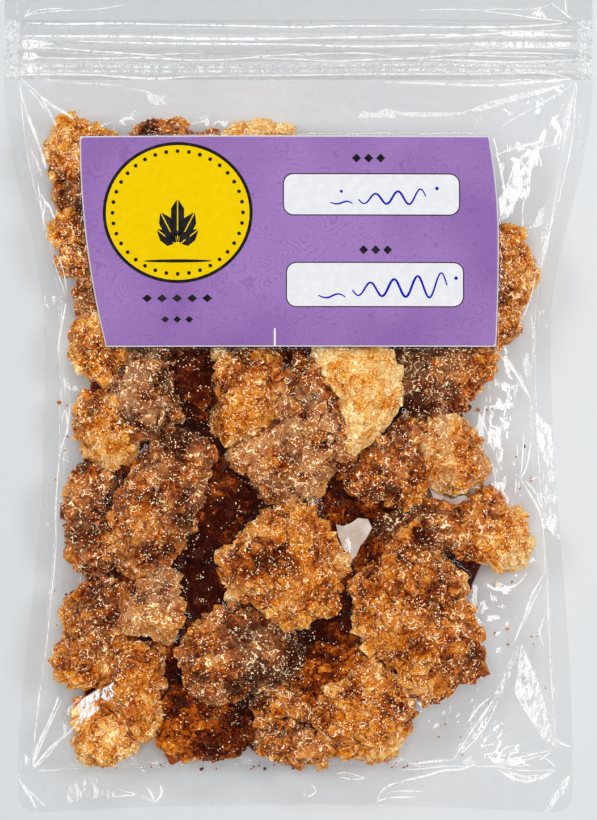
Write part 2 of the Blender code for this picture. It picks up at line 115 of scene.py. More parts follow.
# Lumps: look, lowest and highest point in mm, tone at the middle from 0 (dark) to 1 (pale), the way in
# which the tone grows and by how much, and the outline from above in the photograph's pixels
LUMPS = {
    "knob": ("amber", 0, 16, 0.65, 120, 0.16, [(50, 140), (57, 122), (70, 114), (84, 119), (98, 127),
     (112, 134), (108, 165), (95, 185), (75, 190), (58, 184), (47, 172), (45, 155)]),
    "neck": ("brown", 0, 13, 0.40, 0, 0.0, [(56, 190), (70, 182), (92, 186), (102, 200), (98, 215),
     (80, 222), (62, 214), (54, 203)]),
    "cheek": ("gold", 0, 14, 0.66, 180, 0.1, [(52, 225), (60, 210), (75, 206), (92, 212), (98, 232),
     (86, 248), (66, 246), (53, 238)]),
    "slab": ("amber", 0, 14.5, 0.42, 0, 0.0, [(58, 247), (75, 238), (100, 240), (116, 256), (110, 276),
     (86, 282), (64, 276), (55, 262)]),
    "stub": ("brown", 0, 12.5, 0.40, 0, 0.0, [(76, 282), (95, 274), (116, 282), (124, 300), (112, 316),
     (90, 320), (76, 308), (73, 292)]),
    "crest": ("brown", 0, 15, 0.44, 80, 0.1, [(131, 140), (138, 124), (150, 117), (162, 122), (176, 117),
     (187, 125), (195, 138), (190, 158), (165, 168), (140, 160)]),
    "chip": ("brown", 0, 12, 0.36, 0, 0.0, [(198, 140), (205, 129), (216, 127), (220, 142), (214, 158),
     (202, 154)]),
    "loaf": ("gold", 0, 14.5, 0.90, 0, 0.0, [(222, 142), (226, 129), (245, 123), (262, 126), (280, 125),
     (296, 132), (302, 147), (290, 165), (255, 172), (230, 162)]),
    "ear": ("amber", 0, 15, 0.57, 20, 0.12, [(484, 224), (505, 218), (520, 227), (530, 242), (538, 262),
     (533, 285), (526, 300), (520, 315), (519, 330), (508, 345), (494, 352), (478, 343), (470, 318),
     (468, 290), (470, 256)]),
    "thumb": ("gold", 0, 14.5, 0.64, 210, 0.08, [(80, 318), (96, 312), (114, 328), (125, 350), (124, 368),
     (116, 382), (104, 388), (94, 382), (82, 372), (73, 358), (71, 338)]),
    "pebble": ("gold", 0, 14.5, 0.65, 300, 0.12, [(80, 395), (100, 391), (116, 396), (130, 412), (138, 434),
     (140, 450), (128, 464), (112, 469), (98, 465), (84, 449), (73, 437), (73, 412)]),
    "ash": ("frosted", 0, 17, 0.30, 330, 0.1, [(122, 352), (150, 346), (168, 350), (174, 372), (180, 400),
     (185, 418), (172, 425), (160, 431), (150, 441), (140, 442), (128, 426), (117, 408), (114, 385),
     (118, 366)]),
    "ember": ("dark", 0, 13.5, 0.14, 0, 0.0, [(164, 346), (190, 340), (216, 346), (218, 385), (219, 402),
     (208, 416), (195, 424), (184, 420), (172, 398), (164, 372)]),
    "toffee": ("gold", 1, 17.5, 0.64, 200, 0.06, [(214, 346), (240, 342), (265, 344), (280, 350),
     (283, 372), (282, 400), (282, 412), (268, 426), (255, 436), (240, 441), (225, 449), (215, 443),
     (211, 430), (210, 412), (215, 400), (219, 385), (215, 368)]),
    "rose": ("frosted", 3, 18.5, 0.46, 300, 0.05, [(298, 362), (312, 351), (322, 362), (328, 380),
     (340, 395), (345, 418), (351, 440), (352, 459), (332, 464), (312, 463), (295, 459), (282, 441),
     (279, 420), (281, 395), (284, 378)]),
    "spur": ("frosted", 1, 16.5, 0.47, 320, 0.08, [(226, 452), (244, 440), (262, 432), (276, 422),
     (284, 440), (298, 456), (318, 462), (340, 468), (330, 480), (323, 494), (304, 503), (285, 506),
     (270, 504), (256, 495), (247, 478), (236, 465)]),
    "shard": ("smooth", 7, 19.2, 0.97, 300, -0.06, [(308, 343), (345, 339), (386, 341), (396, 355),
     (407, 372), (406, 386), (402, 402), (395, 420), (378, 437), (361, 453), (349, 463), (343, 441),
     (337, 420), (333, 402), (325, 386), (314, 363)]),
    "bark": ("brown", 0, 15.5, 0.40, 0, 0.34, [(388, 341), (440, 338), (485, 342), (499, 350), (498, 368),
     (493, 379), (482, 383), (478, 393), (470, 403), (468, 413), (450, 418), (425, 420), (405, 418),
     (400, 400), (398, 370)]),
    "quartz": ("brown", 0, 16.5, 0.51, 300, 0.08, [(336, 470), (350, 461), (365, 448), (380, 434),
     (395, 420), (410, 412), (428, 420), (434, 440), (432, 470), (432, 490), (424, 502), (413, 513),
     (402, 512), (393, 506), (380, 505), (368, 509), (357, 500), (346, 488)]),
    "pearl": ("frosted", 2, 17, 0.78, 180, 0.1, [(434, 418), (455, 413), (468, 420), (473, 432), (481, 440),
     (486, 452), (483, 460), (488, 470), (484, 480), (476, 486), (468, 491), (460, 497), (448, 497),
     (436, 489), (427, 478), (425, 455), (427, 435)]),
    "ridge": ("amber", 0, 15.5, 0.48, 350, 0.30, [(364, 530), (376, 518), (395, 507), (418, 500),
     (434, 500), (452, 505), (466, 500), (475, 492), (487, 488), (497, 496), (503, 506), (520, 511),
     (528, 522), (531, 535), (535, 546), (533, 561), (526, 570), (510, 571), (492, 567), (470, 560),
     (440, 552), (405, 545), (378, 542)]),
    "heart": ("amber", 6, 20.6, 0.60, 280, 0.06, [(243, 533), (250, 521), (262, 511), (278, 505),
     (292, 503), (306, 503), (317, 511), (321, 523), (335, 532), (346, 545), (349, 562), (342, 580),
     (339, 598), (334, 612), (320, 622), (305, 629), (286, 627), (270, 619), (259, 610), (245, 606),
     (230, 599), (224, 586), (216, 572), (216, 555), (224, 545), (236, 539)]),
    "boulder": ("brown", 1, 19.6, 0.39, 235, 0.14, [(165, 430), (180, 423), (192, 423), (206, 431),
     (216, 442), (220, 460), (212, 478), (206, 502), (196, 530), (181, 556), (162, 571), (145, 579),
     (126, 579), (112, 567), (107, 550), (102, 532), (104, 515), (114, 498), (123, 487), (128, 475),
     (140, 461), (152, 444)]),
    "coal": ("dark", 0, 15, 0.09, 0, 0.06, [(205, 462), (222, 452), (240, 464), (249, 480), (258, 500),
     (252, 518), (240, 532), (225, 546), (216, 560), (200, 568), (184, 562), (186, 535), (196, 505),
     (200, 480)]),
    "cobble": ("brown", 0, 14.5, 0.32, 190, 0.12, [(68, 475), (76, 465), (90, 461), (106, 468), (124, 476),
     (126, 492), (116, 512), (108, 530), (110, 550), (116, 570), (98, 580), (80, 578), (72, 563), (68, 550),
     (64, 540), (69, 524), (64, 508), (66, 490)]),
    "flank": ("amber", 0, 16, 0.53, 215, 0.22, [(82, 583), (100, 578), (120, 576), (138, 582), (142, 600),
     (130, 620), (126, 640), (112, 662), (100, 682), (85, 691), (70, 686), (56, 680), (51, 668), (56, 655),
     (60, 640), (67, 628), (62, 610), (66, 598)]),
    "petal": ("frosted", 6, 18.2, 0.55, 270, 0.18, [(143, 580), (158, 571), (172, 564), (178, 588),
     (184, 610), (181, 626), (174, 640), (162, 640), (150, 633), (135, 630), (124, 627), (123, 612),
     (130, 600), (139, 590)]),
    "wedge": ("amber", 0, 16, 0.60, 250, 0.08, [(104, 656), (117, 645), (130, 639), (146, 643), (160, 638),
     (170, 648), (167, 670), (162, 700), (164, 726), (152, 741), (138, 744), (128, 735), (120, 720),
     (104, 706), (92, 700), (97, 682), (102, 668)]),
    "nugget": ("gold", 0, 14.5, 0.74, 270, 0.05, [(78, 706), (92, 699), (110, 697), (123, 702), (131, 715),
     (133, 735), (138, 750), (126, 761), (112, 763), (95, 767), (80, 761), (74, 750), (79, 738), (73, 724),
     (70, 713)]),
    "peat": ("dark", 0, 14.5, 0.33, 250, 0.16, [(160, 690), (176, 680), (192, 690), (207, 702), (226, 705),
     (242, 702), (253, 720), (249, 744), (246, 758), (225, 763), (205, 761), (185, 763), (168, 761),
     (157, 751), (152, 742), (161, 725), (157, 706)]),
    "ruff": ("brown", 3, 19.4, 0.26, 170, 0.22, [(178, 646), (190, 628), (205, 611), (222, 600), (242, 606),
     (260, 613), (276, 624), (292, 630), (303, 641), (309, 655), (306, 671), (291, 679), (270, 690),
     (250, 698), (235, 703), (215, 706), (199, 702), (186, 695), (179, 680), (176, 662)]),
    "crumble": ("brown", 0, 14, 0.46, 0, 0.1, [(249, 735), (260, 722), (280, 714), (300, 724), (316, 735),
     (331, 745), (338, 755), (325, 762), (308, 765), (290, 763), (275, 763), (261, 756), (247, 750)]),
    "hollow": ("dark", 0, 13.5, 0.48, 0, 0.08, [(296, 650), (318, 641), (340, 638), (360, 646), (372, 668),
     (352, 690), (330, 702), (310, 712), (294, 702), (288, 680)]),
    "haunch": ("amber", 2, 18, 0.62, 260, 0.08, [(356, 660), (370, 653), (386, 664), (401, 679), (411, 690),
     (421, 714), (412, 723), (408, 735), (398, 746), (388, 759), (370, 762), (350, 761), (338, 751),
     (324, 740), (308, 726), (309, 712), (317, 700), (322, 685), (335, 676), (346, 667)]),
    "crag": ("amber", 2, 20, 0.58, 200, 0.06, [(383, 549), (394, 535), (408, 526), (421, 528), (432, 540),
     (441, 558), (455, 562), (466, 575), (469, 590), (463, 598), (473, 610), (471, 618), (483, 630),
     (486, 645), (489, 660), (481, 678), (470, 686), (458, 683), (452, 698), (440, 703), (430, 698),
     (415, 701), (404, 690), (395, 673), (382, 661), (367, 656), (364, 640), (351, 628), (349, 610),
     (351, 595), (346, 580), (352, 567), (368, 557)]),
    "nest": ("amber", 0, 12.5, 0.50, 0, 0.0, [(244, 702), (262, 692), (285, 684), (310, 690), (322, 704),
     (314, 724), (285, 722), (262, 722)]),
}

# Low lumps that fill the gaps between those, in dark tones as painted shade: tone, height in mm and outline.
# They lie in deep shade.
SHADE_FILLERS = [
    (0.1, 10, [(176, 560), (200, 552), (220, 562), (230, 590), (226, 612), (205, 618), (186, 622),
     (176, 600)]),
    (0.14, 10, [(296, 622), (318, 622), (340, 604), (356, 618), (362, 642), (344, 656), (318, 652),
     (300, 644)]),
    (0.22, 9, [(322, 476), (338, 472), (352, 490), (366, 504), (388, 510), (376, 522), (355, 519),
     (330, 516), (312, 505)]),
    (0.2, 9, [(332, 572), (348, 570), (368, 556), (382, 568), (368, 594), (352, 618), (332, 612)]),
    (0.16, 9, [(374, 494), (398, 490), (412, 506), (400, 526), (380, 522), (372, 508)]),
    (0.12, 9, [(250, 470), (276, 486), (274, 512), (250, 520), (232, 500)]),
    (0.16, 9, [(162, 640), (178, 632), (190, 650), (186, 690), (168, 692), (158, 668)]),
    (0.34, 9, [(112, 466), (132, 454), (156, 446), (150, 470), (132, 484), (114, 480)]),
    (0.18, 9, [(232, 600), (262, 604), (290, 622), (300, 640), (268, 650), (240, 640)]),
    (0.4, 9, [(366, 520), (390, 510), (404, 522), (396, 548), (372, 548)]),
    (0.24, 10, [(112, 560), (140, 570), (152, 590), (138, 610), (112, 600)]),
    (0.16, 9, [(270, 338), (294, 332), (318, 338), (324, 356), (304, 368), (280, 362)]),
    (0.22, 9, [(312, 500), (330, 504), (346, 514), (344, 526), (330, 528), (316, 518)]),
    (0.3, 11, [(355, 556), (364, 543), (378, 534), (394, 546), (386, 566), (364, 576), (352, 570)]),
    (0.44, 12, [(322, 514), (334, 519), (341, 531), (346, 552), (337, 562), (324, 548)]),
]
# Broad low lumps under the others, in the same way and in a dark tone as painted shade, so that no table
# shows between those
SHADE_BEDS = [
    (0.06, 7, [(84, 350), (200, 345), (330, 350), (335, 500), (338, 560), (330, 650), (220, 660),
     (100, 640), (80, 500)]),
    (0.06, 7, [(300, 350), (400, 345), (480, 350), (470, 420), (425, 500), (350, 510), (310, 460)]),
    (0.06, 7, [(350, 580), (372, 545), (430, 520), (500, 530), (470, 600), (470, 660), (400, 700),
     (345, 660)]),
    (0.06, 7, [(80, 620), (180, 600), (300, 620), (400, 640), (380, 740), (260, 750), (170, 745),
     (80, 730)]),
]

# Lumps that the label hides, in rows: the rows' y, and the first and last x in each, all in millimetres
HIDDEN_ROWS = ((57, 14, 40), (43, -36, 28), (22, -36, 36))
HIDDEN_SPACING = 25
HIDDEN_JITTER = 2
HIDDEN_LENGTHS, HIDDEN_NARROWING = (26, 31), 0.82
HIDDEN_HEIGHTS = (14.5, 16.5)
HIDDEN_POINTS = 12
HIDDEN_LOOKS, HIDDEN_TONES = ("amber", "brown", "gold"), (0.3, 0.7)
HIDDEN_SEED = 5

# Crystals: kinds of shape, how they stand on the core, and for each look the smallest and largest size in mm
# and how many stand on a square millimetre of the core
CRYSTAL_KINDS = 14
CRYSTAL_TILT = 0.6
CRYSTAL_WIDTHS, CRYSTAL_HEIGHTS = (0.55, 1.2), (0.7, 1.3)
CRYSTAL_SINK = (-0.28, 0.04)
FACES_DOWN = -0.35
CRYSTALS = {
    "gold": (1.4, 4.8, 0.20),
    "amber": (1.3, 4.5, 0.22),
    "brown": (1.2, 4.2, 0.23),
    "dark": (1.4, 4.2, 0.17),
    "frosted": (1.3, 5.0, 0.23),
    "smooth": (1.4, 3.8, 0.08),
}
# The core: its size inside the outline, its waves and lobes, the tones that those carry, painted rim light
# near the outline and painted shade along the lobes' seams
CORE_SIZE = 0.93
LOBES, BROAD_WAVE, FINE_WAVE = 0.17, 1.9, 4.5
PAINTED_RIM_LIGHT, RIM_START = 0.15, 0.80
LOBE_CROWD, LOBE_BORDER, LOBE_DEPTH, LOBE_TONES, LOBE_SEAM_SHADE = 2.1, 0.32, 0.085, 0.16, 0.12
SHOWN_DETAIL, UNSEEN_DETAIL = 4, 3
UNSEEN_CROWD, UNDERSIDE_CROWD, BED_CROWD = 0.35, 0.25, 0.08
UNDER_CARD = 0.5 * MM
SHARP = 0.95
WIDEST_AT = 0.42
SQUARENESS = 2.5
REST_HEIGHT = 0.6 * MM
LOWEST = 0.15 * MM
# Facets: normals counted as one, what mixes them into a number, and a distance in mm that counts as far
FACET_STEPS = 40
FACET_MIX, FACET_SPREAD = (12.9898, 78.233, 37.719), 43758.5453
FAR_EDGE = 10.0


def eased(share):
    """0 to 1 with level ends, from a share that may run past both."""
    share = np.clip(share, 0.0, 1.0)
    return 0.5 - 0.5 * np.cos(np.pi * share)


def spot(pixel):
    """Place on the table under a pixel of the photograph."""
    return (pixel[0] - ORIGIN_PIXEL[0]) * PIXEL, (ORIGIN_PIXEL[1] - pixel[1]) * PIXEL


def half_width(y, waist, base, flare):
    """How far one side of the pouch stands from its middle line at y."""
    above = waist + (ZIP_HALF_WIDTH - waist) * eased((y - WAIST_Y) / (SHOULDER_Y - WAIST_Y))
    down = np.clip((WAIST_Y - y) / (WAIST_Y - HEM_Y), 0.0, 1.0)
    below = waist + (base - waist) * eased(down**flare)
    side = np.where(y > WAIST_Y, above, below)
    from_corner = np.clip(y + POUCH_LENGTH / 2, 0.0, CORNER_RADIUS)
    return side - CORNER_RADIUS + np.sqrt(CORNER_RADIUS**2 - (CORNER_RADIUS - from_corner) ** 2)


def sides(y):
    """x of the pouch's left and right edge at y."""
    return (
        -half_width(y, LEFT_WAIST, LEFT_BASE, LEFT_FLARE),
        half_width(y, RIGHT_WAIST, RIGHT_BASE, RIGHT_FLARE),
    )


def pouch_grid(across, along):
    """x and y of a grid that covers the pouch from side to side and end to end."""
    share = np.linspace(0.0, 1.0, across + 1)[:, None]
    y = np.linspace(-POUCH_LENGTH / 2, POUCH_LENGTH / 2, along + 1)[None, :]
    left, right = sides(y)
    rise = BASE_RISE * (1 - (2 * share - 1) ** 2) * (1 - eased((y - y[0, 0]) / (2 * BASE_SEAL)))
    return left + (right - left) * share, y + rise


def seam_height(y):
    """Height of the sealed edges' middle above the table."""
    up = eased((y - HEM_Y) / SEAM_RISE_LENGTH)
    down = eased((y - SHOULDER_Y + SEAM_FALL_LENGTH) / SEAM_FALL_LENGTH)
    low = SEAM_AT_BASE + (SEAM_AT_SIDES - SEAM_AT_BASE) * up
    return low + (SEAM_AT_ZIP - low) * down


def label_edges(y):
    """x of the label's left and right edge at y."""
    up = np.clip((y - LABEL_BOTTOM) / (LABEL_TOP - LABEL_BOTTOM), 0.0, 1.0)
    left = LABEL_LEFT + LEFT_DRAWN_IN * (1 - up) ** 2
    drawn_in = np.where(up > 0.5, TOP_DRAWN_IN, FOOT_DRAWN_IN)
    return left, LABEL_RIGHT - drawn_in * (2 * up - 1) ** 2


def label_height(x, y):
    """Height of the label's underside."""
    bow = LABEL_BOW * ((x - BOW_MIDDLE) / BOW_HALF) ** 2
    curl = eased((CURL_START - x) / CURL_WIDTH) * eased((LABEL_BOTTOM + CURL_DEPTH - y) / CURL_DEPTH)
    ripple = LABEL_RIPPLE * np.sin(x / RIPPLE_ACROSS) * np.cos(y / RIPPLE_ALONG)
    return LABEL_HEIGHT - bow - LABEL_CURL * curl + ripple


def mesh_of(name, shape):
    """A mesh made of a shape under construction, which is freed."""
    mesh = bpy.data.meshes.new(name)
    shape.to_mesh(mesh)
    shape.free()
    return mesh


def all_of(pieces):
    """Search tree over all the faces of these pieces."""
    everything = bmesh.new()
    for piece in pieces:
        everything.from_mesh(piece.data)
    tree = BVHTree.FromBMesh(everything)
    everything.free()
    return tree


def new_piece(name, shape, material=None):
    """An object in the scene with this shape, light or lens, which may wear a material."""
    if material is not None:
        shape.materials.append(material)
    thing = bpy.data.objects.new(name, shape)
    bpy.context.scene.collection.objects.link(thing)
    return thing


def film_piece(piece, mirrored=True):
    """Makes a piece ride, as film so thin that light passes it unchanged and only the eye meets it."""
    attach(piece, "root")
    piece.visible_shadow = False
    piece.visible_diffuse = False
    piece.visible_glossy = mirrored


def crystal_shapes():
    """Crystals of about unit size: boxes with some of their corners cut off, and broken pieces."""
    draw = random.Random(11)
    shapes = []
    for kind in range(CRYSTAL_KINDS):
        shape = bmesh.new()
        for corner in range(8):
            if kind % 2:
                turn = corner * math.pi / 4 + draw.uniform(-0.5, 0.5)
                level = draw.uniform(-0.5, 0.5)
                wide = 0.62 - 0.35 * abs(level) + draw.uniform(-0.12, 0.12)
                shape.verts.new((wide * math.cos(turn), wide * math.sin(turn), level))
                continue
            point = Vector([0.5 if corner >> axis & 1 else -0.5 for axis in range(3)])
            if draw.random() < 0.4:
                for axis in range(3):
                    cut = point.copy()
                    cut[axis] *= 1 - draw.uniform(0.4, 1.1)
                    shape.verts.new(cut)
            else:
                shape.verts.new(point * draw.uniform(0.85, 1.1))
        hull = bmesh.ops.convex_hull(shape, input=shape.verts)
        bmesh.ops.delete(shape, geom=[v for v in hull["geom_interior"] if v.is_valid], context="VERTS")
        shapes.append(mesh_of("crystal_%d" % kind, shape))
    return shapes


def reach_of(outline):
    """Middle of an outline, and its distance from there in each direction, as arrays of angle and reach."""
    ring = np.array([spot(pixel) for pixel in outline])
    middle = ring.mean(axis=0)
    steps = np.linspace(0.0, 1.0, 6, endpoint=False)[:, None]
    points = np.concatenate([a + (b - a) * steps for a, b in zip(ring, np.roll(ring, -1, axis=0))]) - middle
    angles = np.arctan2(points[:, 1], points[:, 0])
    order = np.argsort(angles)
    return middle, angles[order], np.hypot(*points.T)[order]


def shift_of(seed):
    """Where in the noise a lump's own form is read."""
    return Vector((seed * 3.7, seed * 1.3, 0))


def lobe_at(way, shift):
    """How far inside its lobe a direction lies, from 0 at the border to 1, and a number for that lobe."""
    far, middles = noise.voronoi(way * LOBE_CROWD + shift)
    inside = min((far[1] - far[0]) / LOBE_BORDER, 1.0)
    return 1 - (1 - inside) ** 2, noise.cell(middles[0] * 7.3)


def lump_core(outline, low, high, seed, detail):
    """A rough closed body inside an outline and between two heights."""
    middle, angles, reaches = reach_of(outline)
    core = bmesh.new()
    bmesh.ops.create_icosphere(core, subdivisions=detail, radius=1.0)
    widest = low + (high - low) * WIDEST_AT
    shift = shift_of(seed)
    for vertex in core.verts:
        way = vertex.co.copy()
        reach = np.interp(math.atan2(way.y, way.x), angles, reaches, period=2 * math.pi)
        flat = math.hypot(way.x, way.y)
        spread = (1 - abs(way.z) ** SQUARENESS) ** (1 / SQUARENESS) if abs(way.z) < 1 else 0.0
        turn = 1 / flat if flat > 1e-6 else 0.0
        lobes = 0.5 - 2 * abs(noise.noise(way * BROAD_WAVE + shift))
        lobes += 0.5 * noise.noise(way * FINE_WAVE + shift)
        size = CORE_SIZE * (1 + LOBES * lobes) - LOBE_DEPTH * (1 - lobe_at(way, shift)[0])
        tall = (high - widest) if way.z > 0 else (widest - low)
        vertex.co = Vector((
            middle[0] + way.x * turn * spread * reach * size,
            middle[1] + way.y * turn * spread * reach * size,
            widest + way.z * tall * size,
        ))
    core.normal_update()
    return core


def grow_crystals(core, look, crowd, shapes, draw):
    """Crystals that stand on a core, as objects in a collection of their own."""
    small, large, _ = CRYSTALS[look]
    growth = bpy.data.collections.new("growth")
    for face in core.faces:
        here = crowd * (UNDERSIDE_CROWD if face.normal.z < FACES_DOWN else 1.0)
        if draw.random() > face.calc_area() / MM**2 * here:
            continue
        size = (small + (large - small) * draw.random() ** 2) * MM
        spin = Quaternion((0, 0, 1), draw.uniform(0, 2 * math.pi))
        tilt = Quaternion((1, 0, 0), draw.gauss(0, CRYSTAL_TILT))
        stand = face.normal.to_track_quat("Z", "Y") @ spin @ tilt
        wide, tall = draw.uniform(*CRYSTAL_WIDTHS), draw.uniform(*CRYSTAL_HEIGHTS)
        scale = Matrix.Diagonal((size, size * wide, size * tall, 1))
        place = face.calc_center_median() + face.normal * draw.uniform(*CRYSTAL_SINK) * size
        crystal = bpy.data.objects.new("crystal", draw.choice(shapes))
        crystal.matrix_world = Matrix.Translation(place) @ stand.to_matrix().to_4x4() @ scale
        growth.objects.link(crystal)
    return growth


def fused(name, core, growth):
    """A core and the crystals on it as one closed body of triangles."""
    body = new_piece(name, mesh_of(name, core))
    fusing = body.modifiers.new("Fused", "BOOLEAN")
    fusing.operation = "UNION"
    fusing.solver = "MANIFOLD"
    fusing.operand_type = "COLLECTION"
    fusing.collection = growth
    bpy.context.scene.collection.children.link(growth)
    mesh = bpy.data.meshes.new_from_object(body.evaluated_get(bpy.context.evaluated_depsgraph_get()))
    for crystal in list(growth.objects):
        bpy.data.objects.remove(crystal)
    bpy.data.collections.remove(growth)
    bpy.data.objects.remove(body)
    triangles = bmesh.new()
    triangles.from_mesh(mesh)
    bmesh.ops.triangulate(triangles, faces=triangles.faces)
    triangles.to_mesh(mesh)
    triangles.free()
    return mesh


def make_lump(name, look, low, high, tone, lean_way, lean, outline, shapes, seed):
    """One lump: a core with crystals grown on it, fused into one closed body that carries its tones."""
    unseen = {"shade_filler": 1.0, "hidden": UNSEEN_CROWD, "shade_bed": BED_CROWD}
    detail = UNSEEN_DETAIL if name in unseen else SHOWN_DETAIL
    core = lump_core(outline, low * MM + REST_HEIGHT, high * MM, seed, detail)
    crowd = CRYSTALS[look][2] * unseen.get(name, 1.0)
    lump = fused(name, core, grow_crystals(core, look, crowd, shapes, random.Random(seed)))
    tuck_under_label(lump)
    mark_tones(lump, outline, tone, lean_way, lean, seed)
    return lump


def tuck_under_label(mesh):
    """Presses down what would stand through the label, and up what would stand through the back film."""
    for vertex in mesh.vertices:
        x, y, z = vertex.co
        vertex.co.z = max(z, LOWEST)
        if z > LABEL_REACH and under_label(x, y, LABEL_MARGIN):
            vertex.co.z = min(z, float(label_height(x, y)) - UNDER_CARD)


def mark_tones(mesh, outline, tone, lean_way, lean, seed):
    """Gives the points of a lump their tones, with painted rim light near the outline and painted shade along
    the lobes' seams, its facets a number each, and its corners their edge marks.
    """
    middle, angles, reaches = reach_of(outline)
    count = len(mesh.vertices)
    places = np.empty(count * 3)
    mesh.vertices.foreach_get("co", places)
    places = places.reshape(-1, 3)
    aside = places[:, :2] - middle
    way = math.radians(lean_way)
    toward = (aside @ (math.cos(way), math.sin(way))) / reaches.mean()
    reach = np.interp(np.arctan2(aside[:, 1], aside[:, 0]), angles, reaches, period=2 * math.pi)
    flat = np.hypot(*aside.T) / reach
    # Painted rim light: paler towards the outline seen from above
    rim_light = eased((flat - RIM_START) / (1 - RIM_START))
    shift = shift_of(seed)
    lobes = np.zeros(count)
    for order, (step, share) in enumerate(zip(aside, flat)):
        ahead = step / max(np.hypot(*step), 1e-9) * min(share, 1.0)
        inside, number = lobe_at(Vector((*ahead, math.sqrt(max(0.0, 1 - share**2)))), shift)
        # Painted shade: darker along the seams between lobes
        lobes[order] = LOBE_TONES * (number - 0.5) - LOBE_SEAM_SHADE * (1 - inside)
    tones = mesh.attributes.new("tone", "FLOAT", "POINT")
    tones.data.foreach_set("value", (tone + lean * toward + PAINTED_RIM_LIGHT * rim_light + lobes).astype(np.float32))
    mark_facets(mesh, places, seed)


def mark_facets(mesh, places, seed):
    """A number for each flat facet, and each corner's distance from its facet's three edges in mm.

    Ridges and nooks are apart, and edges of the other sort count as far away."""
    faces = len(mesh.polygons)
    normals = np.empty(faces * 3)
    mesh.polygons.foreach_get("normal", normals)
    normals = normals.reshape(-1, 3)
    keys = np.round(normals * FACET_STEPS) @ np.array(FACET_MIX) + seed
    facets = mesh.attributes.new("facet", "FLOAT", "FACE")
    facets.data.foreach_set("value", (np.abs(np.sin(keys) * FACET_SPREAD) % 1.0).astype(np.float32))
    corners = np.empty(faces * 3, np.int32)
    edges = np.empty(faces * 3, np.int32)
    mesh.loops.foreach_get("vertex_index", corners)
    mesh.loops.foreach_get("edge_index", edges)
    order = np.argsort(edges, kind="stable")
    owner = order // 3
    first, second = np.zeros(len(mesh.edges), np.int32), np.zeros(len(mesh.edges), np.int32)
    second[edges[order]] = owner
    first[edges[order][::-1]] = owner[::-1]
    points = places[corners].reshape(-1, 3, 3)
    centres = points.mean(axis=1)
    across = centres[second] - centres[first]
    bend = (normals[first] * normals[second]).sum(axis=1) < SHARP
    ridge = bend & ((normals[first] * across).sum(axis=1) < 0)
    nook = bend & ~ridge
    sides_of = np.roll(edges.reshape(-1, 3), -1, axis=1)
    run = np.linalg.norm(np.roll(points, -2, axis=1) - np.roll(points, -1, axis=1), axis=2)
    twice = np.linalg.norm(np.cross(points[:, 1] - points[:, 0], points[:, 2] - points[:, 0]), axis=1)
    tall = twice[:, None] / np.maximum(run, 1e-9) / MM
    for name, kept in (("ridge", ridge), ("nook", nook)):
        far = np.where(kept[sides_of], 0.0, FAR_EDGE)
        values = np.repeat(far[:, None, :], 3, axis=1)
        for corner in range(3):
            values[:, corner, corner] += tall[:, corner]
        layer = mesh.attributes.new(name, "FLOAT_VECTOR", "CORNER")
        layer.data.foreach_set("vector", values.astype(np.float32).ravel())


def joined(name, meshes, material):
    """One piece made of several meshes of triangles, with the marks that they carry."""
    whole = bmesh.new()
    for mesh in meshes:
        whole.from_mesh(mesh)
        bpy.data.meshes.remove(mesh)
    piece = new_piece(name, mesh_of(name, whole), material)
    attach(piece, "root")
    return piece


def hidden_lumps():
    """Lumps like the others, in rough rows under the label, as outlines in the photograph's pixels."""
    draw = random.Random(HIDDEN_SEED)
    for row_y, first_x, last_x in HIDDEN_ROWS:
        count = round((last_x - first_x) / HIDDEN_SPACING) + 1
        for place in np.linspace(first_x, last_x, count):
            x = place + draw.uniform(-HIDDEN_JITTER, HIDDEN_JITTER)
            y = row_y + draw.uniform(-HIDDEN_JITTER, HIDDEN_JITTER)
            length = draw.uniform(*HIDDEN_LENGTHS)
            turn = draw.uniform(0, math.pi)
            high = draw.uniform(*HIDDEN_HEIGHTS)
            outline = []
            for angle in np.linspace(0, 2 * math.pi, HIDDEN_POINTS, endpoint=False):
                along = length / 2 * math.cos(angle)
                aside = length / 2 * HIDDEN_NARROWING * math.sin(angle)
                across = x + along * math.cos(turn) - aside * math.sin(turn)
                up = y + along * math.sin(turn) + aside * math.cos(turn)
                outline.append((ORIGIN_PIXEL[0] + across * MM / PIXEL, ORIGIN_PIXEL[1] - up * MM / PIXEL))
            yield draw.choice(HIDDEN_LOOKS), high, draw.uniform(*HIDDEN_TONES), outline


def make_candy(materials):
    """All the lumps, joined into one piece for each look."""
    shapes = crystal_shapes()
    rows = [(name, *facts) for name, facts in LUMPS.items()]
    # The fillers and beds are dark lumps put in the gaps as painted shade
    for name, low_ones in (("shade_filler", SHADE_FILLERS), ("shade_bed", SHADE_BEDS)):
        rows += [(name, "dark", 0, high, tone, 0, 0.0, outline) for tone, high, outline in low_ones]
    for look, high, tone, outline in hidden_lumps():
        rows.append(("hidden", look, 0, high, tone, 0, 0.0, outline))
    made = {look: [] for look in CRYSTALS}
    for seed, (name, look, low, high, tone, lean_way, lean, outline) in enumerate(rows):
        made[look].append(make_lump(name, look, low, high, tone, lean_way, lean, outline, shapes, seed))
    for shape in shapes:
        bpy.data.meshes.remove(shape)
    return [joined("candy_" + look, meshes, materials[look]) for look, meshes in made.items()]


def candy_reach(pieces, x, y, side):
    """Height of the candy's top over each point, or of its underside where side is -1."""
    tree = all_of(pieces)
    none = 0.0 if side > 0 else RAY_HEIGHT
    reach = np.full(x.shape, none)
    start = RAY_HEIGHT * side
    for place in np.ndindex(x.shape):
        hit = tree.ray_cast(Vector((x[place], y[place], start)), Vector((0, 0, -side)))[0]
        if hit is not None:
            reach[place] = hit.z + side * FILM_CLEARANCE
    return reach


